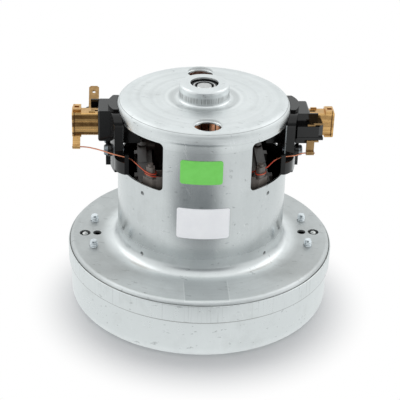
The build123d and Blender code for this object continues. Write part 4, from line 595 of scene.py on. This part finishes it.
def brass():
    """Pressed brass, tarnished, with painted reflections in bands along the brush tubes."""
    f = Finish("brass_sheet")
    along = f.noise(detail=3, roughness=0.6, place=f.stretched(*ALONG_ROWS))
    cloud = f.noise(per_mm=0.3, detail=4, roughness=0.65)
    spots = f.step(f.noise(per_mm=1.1, detail=3, roughness=0.6), *SPOT_FROM)
    on_tube = f.near(abs(f.y), TUBE_WALL_Y, half=0.55, fade=0.3) * f.step(f.z, *TUBE_FROM_Z)
    # the painted reflections are stronger on the left tube than on the right
    contrast = LEFT_CONTRAST - f.step(f.x, *RIGHT_FROM_X) * RIGHT_LESS
    tone = BRASS_MIDDLE + (tube_reflection_tone(f) - REFLECTION_MIDDLE) * on_tube * contrast
    tone = tone + (along - NOISE_MIDDLE) * ALONG_SHARE + (cloud - NOISE_MIDDLE) * BLOTCH_SHARE
    colour = f.mix(f.step(tone, 0.0, 1.0), BRASS_DARK, BRASS_LIGHT)
    end_line = f.near(abs(f.x), TUBE_END_X, half=0.12, fade=0.15) * on_tube
    colour = f.mix(spots * SPOT_SHARE + end_line * END_LINE_SHARE, colour, BRASS_SPOT)
    normal = f.bump(cloud + along, depth=0.01)
    return f.surface(colour, Metallic=1.0, Roughness=cloud.scaled(*BRASS_ROUGH), Normal=normal)


def dull_brass():
    """The terminals' sheet, duller and browner than the tubes."""
    f = Finish("terminal_brass")
    cloud = f.noise(per_mm=0.5, detail=4, roughness=0.65)
    grain = f.noise(per_mm=3.0, detail=3, roughness=0.6)
    tone = f.step(blend(cloud, grain, share=0.7), *PLAIN_TONE)
    colour = f.mix(tone, TERMINAL_DARK, TERMINAL_LIGHT)
    normal = f.bump(grain, depth=0.015)
    return f.surface(colour, Metallic=1.0, Roughness=grain.scaled(*TERMINAL_ROUGH), Normal=normal)


# One finish for each material slot, and the pieces that have their own

LEAD_BARE_FROM = 39.0
# height below which the brown moulding has painted shade
SHADED_BELOW_Z = 73.0

finishes = {
    "fan_steel": fan_steel(),
    "can_steel": can_steel(),
    "frame_steel": shaded_bridge(),
    "shaft_steel": plain_metal("ground_steel", (0.5, 0.5, 0.5), (0.64, 0.64, 0.63), rough=0.16),
    "screw_steel": plain_metal("screw_zinc", (0.58, 0.62, 0.65), (0.8, 0.85, 0.88), rough=0.1),
    "spring_steel": plain_metal("spring_wire", (0.4, 0.4, 0.41), (0.6, 0.6, 0.6), rough=0.22),
    "core_steel": plain_metal("core_sheets", (0.1, 0.095, 0.09), (0.2, 0.19, 0.18), rough=0.5),
    "impeller_aluminium": plain_metal(
        "impeller_sheet", (0.66, 0.67, 0.68), (0.8, 0.8, 0.8), rough=0.3
    ),
    "brass": brass(),
    "copper": plain_metal("bar_copper", (0.5, 0.2, 0.1), (0.8, 0.42, 0.26), rough=0.25),
    "red_enamel": coil_wire("coil_enamel"),
    "lead_copper": coil_wire("lead_wire", LEAD_BARE_FROM),
    "black_moulding": moulding(
        "black_phenolic", (0.0035, 0.003, 0.003), (0.006, 0.0055, 0.0055), rough=0.05, gloss=0.45
    ),
    "brown_moulding": moulding(
        "brown_nylon", (0.11, 0.094, 0.084), (0.155, 0.135, 0.12), rough=0.34,
        shaded_below=SHADED_BELOW_Z,
    ),
    "diffuser_plastic": moulding(
        "diffuser_nylon", (0.05, 0.05, 0.05), (0.08, 0.08, 0.08), rough=0.4
    ),
    "carbon": moulding("brush_carbon", (0.02, 0.02, 0.022), (0.035, 0.035, 0.037), rough=0.55),
    "seal_rubber": moulding(
        "seal_rubber", (0.012, 0.012, 0.012), (0.02, 0.02, 0.02), rough=0.45
    ),
    "cage_plastic": moulding("cage_nylon", (0.6, 0.55, 0.45), (0.7, 0.66, 0.56), rough=0.4),
    "green_paper": paper("green_label", (0.19, 0.7, 0.11), (0.22, 0.76, 0.14)),
    "white_paper": paper("white_label", (0.93, 0.94, 0.965), (0.97, 0.98, 1.0)),
}

terminal_brass = dull_brass()
OWN_FINISH = {
    "left_spade_terminal": terminal_brass,
    "right_spade_terminal": terminal_brass,
    "upper_bearing_inner_ring": black_ring_highlight(),
    # the holder screws' zinc, painted darker as shade
    "holder_screws": plain_metal("holder_zinc_shaded", (0.2, 0.22, 0.24), (0.36, 0.4, 0.43), rough=0.3),
}

# Normals of the turned sheet pieces, exact round the motor's axis, on a slightly domed top

TOP_DOME = math.radians(2.5)
TOP_DOME_R = (17.0 * MM, 37.2 * MM)
TOP_FROM = 103.9 * MM
RIM_FROM = 100.3 * MM
OUTWARD_SHARE = 0.97
LEVEL_FROM = 0.9999
UPRIGHT_TO = 0.002
UPRIGHT_ACROSS = 0.5
BENT_ACROSS = 0.02
TINY = 1e-9


def corner_normals(mesh):
    """The normal at every corner of every face, as rows."""
    values = np.zeros(len(mesh.loops) * 3, np.float32)
    mesh.corner_normals.foreach_get("vector", values)
    return values.reshape(-1, 3).astype(float)


def corner_places(mesh):
    """The place of every corner and the flat normal of its face, as rows."""
    points = np.array([vert.co for vert in mesh.vertices])
    owner = np.zeros(len(mesh.loops), int)
    for face in mesh.polygons:
        owner[face.loop_start:face.loop_start + face.loop_total] = face.index
    flat = np.array([face.normal for face in mesh.polygons])[owner]
    return points[[loop.vertex_index for loop in mesh.loops]], flat


def true_round_normals(mesh):
    """Exact normals for a surface turned about the motor's axis, whatever its triangles are."""
    normals = corner_normals(mesh)
    point, flat = corner_places(mesh)
    height = point[:, 2]
    radius = np.maximum(np.linalg.norm(point[:, :2], axis=1), TINY)
    outward = point[:, :2] / radius[:, None]
    flat_across = np.linalg.norm(flat[:, :2], axis=1)
    along = (flat[:, :2] * outward).sum(axis=1)
    side = np.sign(along)
    turned_face = np.abs(along) > OUTWARD_SHARE * flat_across
    level = np.abs(flat[:, 2]) > LEVEL_FROM
    steep = np.abs(flat[:, 2]) < UPRIGHT_TO
    upright = steep & turned_face & (flat_across > UPRIGHT_ACROSS)
    bent = turned_face & ~level & ~upright & (flat_across > BENT_ACROSS)
    across = np.sqrt(np.maximum(0, 1 - normals[:, 2] ** 2))
    normals[level] = flat[level]
    dome = TOP_DOME * np.clip((radius - TOP_DOME_R[0]) / np.ptp(TOP_DOME_R), 0, 1)
    domed = level & (height > TOP_FROM) & (flat[:, 2] > 0)
    normals[domed, :2] = outward[domed] * np.sin(dome[domed])[:, None]
    normals[domed, 2] = np.cos(dome[domed])
    lean = np.arctan2(across, normals[:, 2])
    on_rim = bent & (height > RIM_FROM) & (radius > TOP_DOME_R[0]) & (along > 0)
    lean[on_rim] += TOP_DOME * (1 - lean[on_rim] / QUARTER_TURN)
    across = np.where(on_rim, np.sin(lean), across)
    normals[on_rim, 2] = np.cos(lean[on_rim])
    normals[upright, :2] = outward[upright] * side[upright, None]
    normals[upright, 2] = 0
    normals[bent, :2] = outward[bent] * (side * across)[bent, None]
    mesh.normals_split_custom_set([tuple(normal) for normal in normals])


# Pieces: finer copies of the CAD nodes, with smooth curves and broken edges

MERGE_WITHIN = 0.002
FLAT_WITHIN = math.radians(0.5)
SHARP_FROM = math.radians(28)
EDGE_SEGMENTS = 2
TURNED = ("motor_can", "fan_case")
EDGE_BY_LAST_WORD = {"holder": 0.45, "bobbin": 0.25, "tube": 0.12, "cap": 0.1, "terminal": 0.12}


def finish_of(node):
    """The material of a CAD node's pieces."""
    return OWN_FINISH.get(node, finishes[SLOT_OF[node]])


def stand_for(piece, node):
    """Make a piece ride on a CAD node's body, take its place and its finish."""
    piece.data.materials.clear()
    piece.data.materials.append(finish_of(node))
    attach(piece, BODY_OF[node])
    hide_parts(node)


def add_object(name, data):
    """A new object in the scene."""
    made = bpy.data.objects.new(name, data)
    bpy.context.scene.collection.objects.link(made)
    return made


def break_edges(piece, width):
    """Round a piece's sharp edges, and keep its flat faces flat."""
    bevel = piece.modifiers.new("edge", "BEVEL")
    bevel.width = width * MM
    bevel.segments = EDGE_SEGMENTS
    bevel.limit_method = "ANGLE"
    bevel.angle_limit = SHARP_FROM
    weighted = piece.modifiers.new("normals", "WEIGHTED_NORMAL")
    weighted.keep_sharp = True


def finer(node, edge):
    """A merged copy of a CAD node that takes its place, smooth where it is curved."""
    mesh = frame["nodes"][node].data.copy()
    mesh.materials.clear()
    work = bmesh.new()
    work.from_mesh(mesh)
    bmesh.ops.remove_doubles(work, verts=work.verts, dist=MERGE_WITHIN * MM)
    if edge:
        bmesh.ops.dissolve_limit(
            work, angle_limit=FLAT_WITHIN, verts=work.verts, edges=work.edges
        )
    work.to_mesh(mesh)
    work.free()
    if "custom_normal" in mesh.attributes:
        mesh.attributes.remove(mesh.attributes["custom_normal"])
    mesh.shade_smooth()
    mesh.set_sharp_from_angle(angle=SHARP_FROM)
    piece = add_object(f"fine_{node}", mesh)
    if node in TURNED:
        true_round_normals(mesh)
    if edge:
        break_edges(piece, edge)
    stand_for(piece, node)


# Screws: one threaded screw with a cross in its head, set out in fours by Geometry Nodes

SCREW_SEGMENTS = 40
THREAD_STEPS = 8
CROSS_HALF = 0.36
CROSS_TAPER = 0.6
SCREW_SHARP_FROM = math.radians(38)


class Layout:
    """A Geometry Nodes group with named inputs, and the mesh that it makes."""

    def __init__(self, name, **inputs):
        self.tree = bpy.data.node_groups.new(name, "GeometryNodeTree")
        self.tree.interface.new_socket("Mesh", in_out="OUTPUT", socket_type="NodeSocketGeometry")
        self.keys = {}
        for label, kind in inputs.items():
            socket = self.tree.interface.new_socket(
                label, in_out="INPUT", socket_type=f"NodeSocket{kind}"
            )
            self.keys[label] = socket.identifier
        self.given = self.tree.nodes.new("NodeGroupInput").outputs
        self.result = self.tree.nodes.new("NodeGroupOutput").inputs[0]

    def node(self, kind, settings=None, **sockets):
        """A new node; each socket takes another node's output or a constant."""
        made = self.tree.nodes.new(kind)
        for key, value in (settings or {}).items():
            setattr(made, key, value)
        for key, value in sockets.items():
            name = key.replace("_", " ")
            socket = next(s for s in made.inputs if s.name == name and s.enabled)
            if isinstance(value, bpy.types.NodeSocket):
                self.tree.links.new(value, socket)
            else:
                socket.default_value = value
        return made

    def mesh(self, name, **values):
        """The finished mesh for a set of input values."""
        holder = add_object(name, bpy.data.meshes.new(name))
        modifier = holder.modifiers.new("layout", "NODES")
        modifier.node_group = self.tree
        for label, value in values.items():
            modifier[self.keys[label]] = value
        graph = bpy.context.evaluated_depsgraph_get()
        made = bpy.data.meshes.new_from_object(holder.evaluated_get(graph))
        bpy.data.objects.remove(holder)
        return made


def four_screws():
    """Four screws on a rectangle's corners, tilted towards its middle line, turned at random."""
    layout = Layout("four_screws", Length="Float", Width="Float", Height="Float", Tilt="Float",
                    Seed="Int", Screw="Object", Finish="Material")
    given = layout.given
    corners = layout.node("GeometryNodeMeshGrid", None, Size_X=given["Length"],
                          Size_Y=given["Width"], Vertices_X=2, Vertices_Y=2)
    place = layout.node("GeometryNodeInputPosition")
    split = layout.node("ShaderNodeSeparateXYZ", None, Vector=place.outputs[0])
    side = layout.node("ShaderNodeMath", {"operation": "SIGN"}, Value=split.outputs["X"])
    lean = layout.node("ShaderNodeMath", {"operation": "MULTIPLY"}, Value=side.outputs[0])
    layout.tree.links.new(given["Tilt"], lean.inputs[1])
    way = layout.node("ShaderNodeCombineXYZ", None, Y=lean.outputs[0])
    pattern = layout.node("GeometryNodeObjectInfo", None, Object=given["Screw"])
    screws = layout.node("GeometryNodeInstanceOnPoints", None, Points=corners.outputs["Mesh"],
                         Instance=pattern.outputs["Geometry"], Rotation=way.outputs[0])
    spin = layout.node("FunctionNodeRandomValue", {"data_type": "FLOAT"}, Min=0.0,
                       Max=QUARTER_TURN, Seed=given["Seed"])
    spin_out = next(s for s in spin.outputs if s.enabled)
    about = layout.node("ShaderNodeCombineXYZ", None, Z=spin_out)
    spun = layout.node("GeometryNodeRotateInstances", None, Instances=screws.outputs[0],
                       Rotation=about.outputs[0])
    rise = layout.node("ShaderNodeCombineXYZ", None, Z=given["Height"])
    lifted = layout.node("GeometryNodeTransform", None, Geometry=spun.outputs[0],
                         Translation=rise.outputs[0])
    real = layout.node("GeometryNodeRealizeInstances", None, Geometry=lifted.outputs[0])
    painted = layout.node("GeometryNodeSetMaterial", None, Geometry=real.outputs[0],
                          Material=given["Finish"])
    layout.tree.links.new(painted.outputs[0], layout.result)
    return layout


def threaded_rings(work, stations, thread_from, thread_to, pitch, depth):
    """A ring of vertices at each station, with the thread's groove cut between two heights."""
    rings = []
    for radius, height in stations:
        ring = []
        for k in range(SCREW_SEGMENTS):
            share = k / SCREW_SEGMENTS
            cut = 0.0
            if thread_from < height <= thread_to:
                cut = depth * abs(2 * ((height / pitch - share) % 1) - 1)
            angle = FULL_TURN * share
            point = ((radius - cut) * math.cos(angle), (radius - cut) * math.sin(angle), height)
            ring.append(work.verts.new([value * MM for value in point]))
        rings.append(ring)
    return rings


def cut_cross(work, rim, face_z, reach, sink):
    """Close a screw's head inside its rim with a face that has a tapered cross sunk in it."""
    outline = [(reach, -CROSS_HALF), (reach, CROSS_HALF), (CROSS_HALF, CROSS_HALF)]
    for _ in range(3):
        outline += [(-y, x) for x, y in outline[-3:]]
    mouth = [work.verts.new((x * MM, y * MM, face_z * MM)) for x, y in outline]
    floor_points = [(x * CROSS_TAPER * MM, y * CROSS_TAPER * MM, (face_z + sink) * MM)
                    for x, y in outline]
    bottom = [work.verts.new(point) for point in floor_points]
    edges = []
    for loop in (mouth, rim):
        for k, vert in enumerate(loop):
            after = loop[(k + 1) % len(loop)]
            edges.append(work.edges.get((vert, after)) or work.edges.new((vert, after)))
    bmesh.ops.triangle_fill(work, use_beauty=True, edges=edges)
    for k in range(len(mouth)):
        after = (k + 1) % len(mouth)
        work.faces.new((mouth[k], mouth[after], bottom[after], bottom[k]))
    work.faces.new(bottom)


def screw_pattern(name, head, shank_r, thread, tip, pitch, depth, cross_reach, cross_sink):
    """A screw along Z, its head below 0 and its tip above, in millimetres in and metres out."""
    thread_from, thread_to = thread
    stations = list(head) + [(shank_r, 0.0), (shank_r, thread_from)]
    count = int((thread_to - thread_from) / pitch * THREAD_STEPS)
    stations += [(shank_r, thread_from + (i + 1) * pitch / THREAD_STEPS) for i in range(count)]
    stations.append(tip)
    work = bmesh.new()
    rings = threaded_rings(work, stations, thread_from, thread_to, pitch, depth)
    for low, high in zip(rings, rings[1:]):
        for k in range(SCREW_SEGMENTS):
            after = (k + 1) % SCREW_SEGMENTS
            work.faces.new((low[k], low[after], high[after], high[k]))
    work.faces.new(rings[-1])
    cut_cross(work, rings[0], stations[0][1], cross_reach, cross_sink)
    bmesh.ops.recalc_face_normals(work, faces=work.faces)
    mesh = bpy.data.meshes.new(name)
    work.to_mesh(mesh)
    work.free()
    mesh.shade_smooth()
    mesh.set_sharp_from_angle(angle=SCREW_SHARP_FROM)
    return bpy.data.objects.new(name, mesh)


def node_span(node, axis):
    """The least and greatest coordinate of a CAD node along an axis, in millimetres."""
    values = [vert.co[axis] / MM for vert in frame["nodes"][node].data.vertices]
    return min(values), max(values)


screw_layout = four_screws()


def set_screws(node, pattern, length, width, height, tilt, seed):
    """Four screws that take the place of a CAD node."""
    mesh = screw_layout.mesh(
        f"{node}_threaded", Length=length * MM, Width=width * MM, Height=height * MM,
        Tilt=tilt, Seed=seed, Screw=pattern, Finish=finish_of(node),
    )
    bpy.data.objects.remove(pattern)
    stand_for(add_object(f"{node}_threaded", mesh), node)


# Bridge screws: heads under the bridge, threaded tips standing out of the flange

BRIDGE_HEAD = ((2.9, -2.3), (3.3, -2.2), (3.55, -1.7), (3.6, 0.0))
BRIDGE_SHANK_R, BRIDGE_TIP_R = 2.0, 1.45
BRIDGE_TIP_LENGTH = 0.8
BRIDGE_LENGTH, BRIDGE_WIDTH = 104.8, 25.4

bridge_low, bridge_high = node_span("bridge_screws", 2)
under_head_z = bridge_low - BRIDGE_HEAD[0][1]
tip_z = bridge_high - under_head_z
bridge_screw = screw_pattern(
    "bridge_screw", BRIDGE_HEAD, BRIDGE_SHANK_R, thread=(1.0, tip_z - BRIDGE_TIP_LENGTH),
    tip=(BRIDGE_TIP_R, tip_z), pitch=0.9, depth=0.3, cross_reach=1.9, cross_sink=1.3,
)
set_screws("bridge_screws", bridge_screw, BRIDGE_LENGTH, BRIDGE_WIDTH, under_head_z, tilt=0.0,
           seed=5)

# Holder screws: heads outwards on the brush holders, lying along X

HOLDER_HEAD = ((1.95, -1.9), (2.3, -1.75), (2.55, -1.3), (2.6, 0.0))
HOLDER_SHANK_R, HOLDER_TIP = 1.45, (1.2, 7.6)
HOLDER_WIDTH, HOLDER_Z = 13.0, 79.6

under_head_x = node_span("holder_screws", 0)[1] + HOLDER_HEAD[0][1]
holder_screw = screw_pattern(
    "holder_screw", HOLDER_HEAD, HOLDER_SHANK_R, thread=(1.4, 7.0), tip=HOLDER_TIP, pitch=0.8,
    depth=0.22, cross_reach=1.35, cross_sink=1.0,
)
set_screws("holder_screws", holder_screw, 2 * under_head_x, HOLDER_WIDTH, HOLDER_Z,
           tilt=-QUARTER_TURN, seed=8)

THREADED = ("bridge_screws", "holder_screws")
for node in sorted(set(frame["nodes"]) - set(THREADED)):
    last_word = node.split("_")[-1]
    finer(node, EDGE_BY_LAST_WORD.get(last_word, 0.0))

# Camera: where the photograph was taken from

AXIS_TILT = math.radians(28.23)
CAMERA_ROLL = math.radians(1.8)
OBJECT_TURN = math.radians(-4.0)
CAMERA_DISTANCE = 600.0
AIM = Vector((-0.4, 0.0, 49.02))
FOCAL_PIXELS = 1221.29
PHOTO_PIXELS = 400
SENSOR = 36.0
CLIP_START = 0.01

back_way = Vector((0, -math.cos(AXIS_TILT), math.sin(AXIS_TILT)))
right_way = Vector((1, 0, 0))
up_way = right_way.cross(-back_way).normalized()
roll_cos, roll_sin = math.cos(CAMERA_ROLL), math.sin(CAMERA_ROLL)
camera_x = right_way * roll_cos + up_way * roll_sin
camera_y = up_way * roll_cos - right_way * roll_sin
turn = Matrix.Rotation(OBJECT_TURN, 3, "Z")
place = turn @ (AIM + back_way * CAMERA_DISTANCE)
axes = Matrix((turn @ camera_x, turn @ camera_y, turn @ back_way)).transposed()
camera_data = bpy.data.cameras.new("camera")
camera_data.sensor_width = SENSOR
camera_data.lens = FOCAL_PIXELS * SENSOR / PHOTO_PIXELS
camera_data.clip_start = CLIP_START
camera = add_object("camera", camera_data)
camera.matrix_world = Matrix.Translation(place * MM) @ axes.to_4x4()
bpy.context.scene.camera = camera
bpy.context.scene.view_settings.view_transform = "Standard"

# Stage: a white room, a pale floor that keeps the shadow, and soft lamps, all in metres

PURE_WHITE = (1, 1, 1)
WHITE, DIM = (0.97, 1.0, 1.0), (0.24, 0.26, 0.27)
ROOM_GREY = (0.87, 0.875, 0.88)
FRONT_FROM = (0.55, 0.9)
LOW_TO = (0.3, 0.7)
FLOOR_GREY = (0.67, 0.675, 0.685)
FLOOR_HALF = 3.0
FLOOR_Z = -0.0002
TABLE_EDGE = (0.1, 0.135)
FAR_FADE = (0.17, 0.27)
FAR_LESS = 0.45
SHADE_MIDDLE_X = -0.029
SHADE_SIDE = (0.045, 0.125)
SHADE_MIDDLE_Y = -0.012
CLEAR_FROM = (0.054, 0.087)


class Stage(Finish):
    """The same way of writing nodes for the room and the floor, in metres."""

    def __init__(self, holder, coordinate):
        holder.use_nodes = True
        self.tree = holder.node_tree
        self.tree.nodes.clear()
        coordinates = self.node("TexCoord").outputs[coordinate]
        split = self.node("SeparateXYZ", None, coordinates)
        self.x, self.y, self.z = (Amount(self, socket) for socket in split.outputs)
        self.rays = self.node("LightPath").outputs

    def either(self, factor, first, second):
        """One shader or another."""
        made = self.node("MixShader", None, factor)
        self.tree.links.new(first.outputs[0], made.inputs[1])
        self.tree.links.new(second.outputs[0], made.inputs[2])
        return made

    def end(self, kind, shader):
        """Finish the tree with an output node."""
        self.tree.links.new(shader.outputs[0], self.node(kind).inputs[0])


def white_room():
    """A world that the camera sees white, and metal sees dim low down at the front."""
    world = bpy.data.worlds.new("room")
    bpy.context.scene.world = world
    room = Stage(world, "Generated")
    to_front = room.step(0 - room.y, *FRONT_FROM) * (1 - room.step(room.z, *LOW_TO))
    mirrored = room.mix(to_front, WHITE, DIM)
    lit = room.mix(room.rays["Is Glossy Ray"], ROOM_GREY, mirrored)
    sky = room.mix(room.rays["Is Camera Ray"], lit, PURE_WHITE)
    room.end("OutputWorld", room.node("Background", None, sky))


def floor_material():
    """A floor that keeps the shadow near the object, and is white to the camera further off."""
    paint = bpy.data.materials.new("floor_white")
    table = Stage(paint, "Object")
    beside = table.step(abs(table.x - SHADE_MIDDLE_X), *SHADE_SIDE)
    far = table.step(0 - table.y, *FAR_FADE)
    shade = table.step(0 - table.y, *TABLE_EDGE) * (1 - far * FAR_LESS) * (1 - beside)
    away = length_of(table.x, table.y - SHADE_MIDDLE_Y)
    clear = table.step(away, *CLEAR_FROM) * Amount(table, table.rays["Is Camera Ray"])
    matt = table.node("BsdfDiffuse", None, FLOOR_GREY)
    seen = table.either(clear, matt, table.node("Emission", None, PURE_WHITE))
    mirrored = table.node("Emission", None, table.mix(shade, WHITE, DIM))
    table.end("OutputMaterial", table.either(table.rays["Is Glossy Ray"], seen, mirrored))
    return paint


def add_floor():
    """A large square just under the object."""
    mesh = bpy.data.meshes.new("floor")
    corners = [(x * FLOOR_HALF, y * FLOOR_HALF, FLOOR_Z)
               for x, y in ((-1, -1), (1, -1), (1, 1), (-1, 1))]
    mesh.from_pydata(corners, [], [(0, 1, 2, 3)])
    mesh.materials.append(floor_material())
    add_object("floor", mesh)


LAMP_AIM = Vector((0, 0, 0.05))
LAMPS = (
    ("left_lamp", (-0.8, 0.3, 0.8), 0.8, 1.3),
    ("right_lamp", (0.85, 0.3, 0.8), 0.8, 1.3),
    ("back_lamp", (0.05, 0.6, 0.95), 1.2, 3.3),
)


def add_lamp(name, spot, size, power):
    """A square lamp aimed at the motor; metal doesn't mirror the one behind it."""
    data = bpy.data.lights.new(name, "AREA")
    data.size = size
    data.energy = power
    lamp = add_object(name, data)
    lamp.location = spot
    lamp.rotation_euler = (LAMP_AIM - Vector(spot)).to_track_quat("-Z", "Y").to_euler()
    lamp.visible_glossy = name != "back_lamp"


white_room()
add_floor()
for lamp_row in LAMPS:
    add_lamp(*lamp_row)
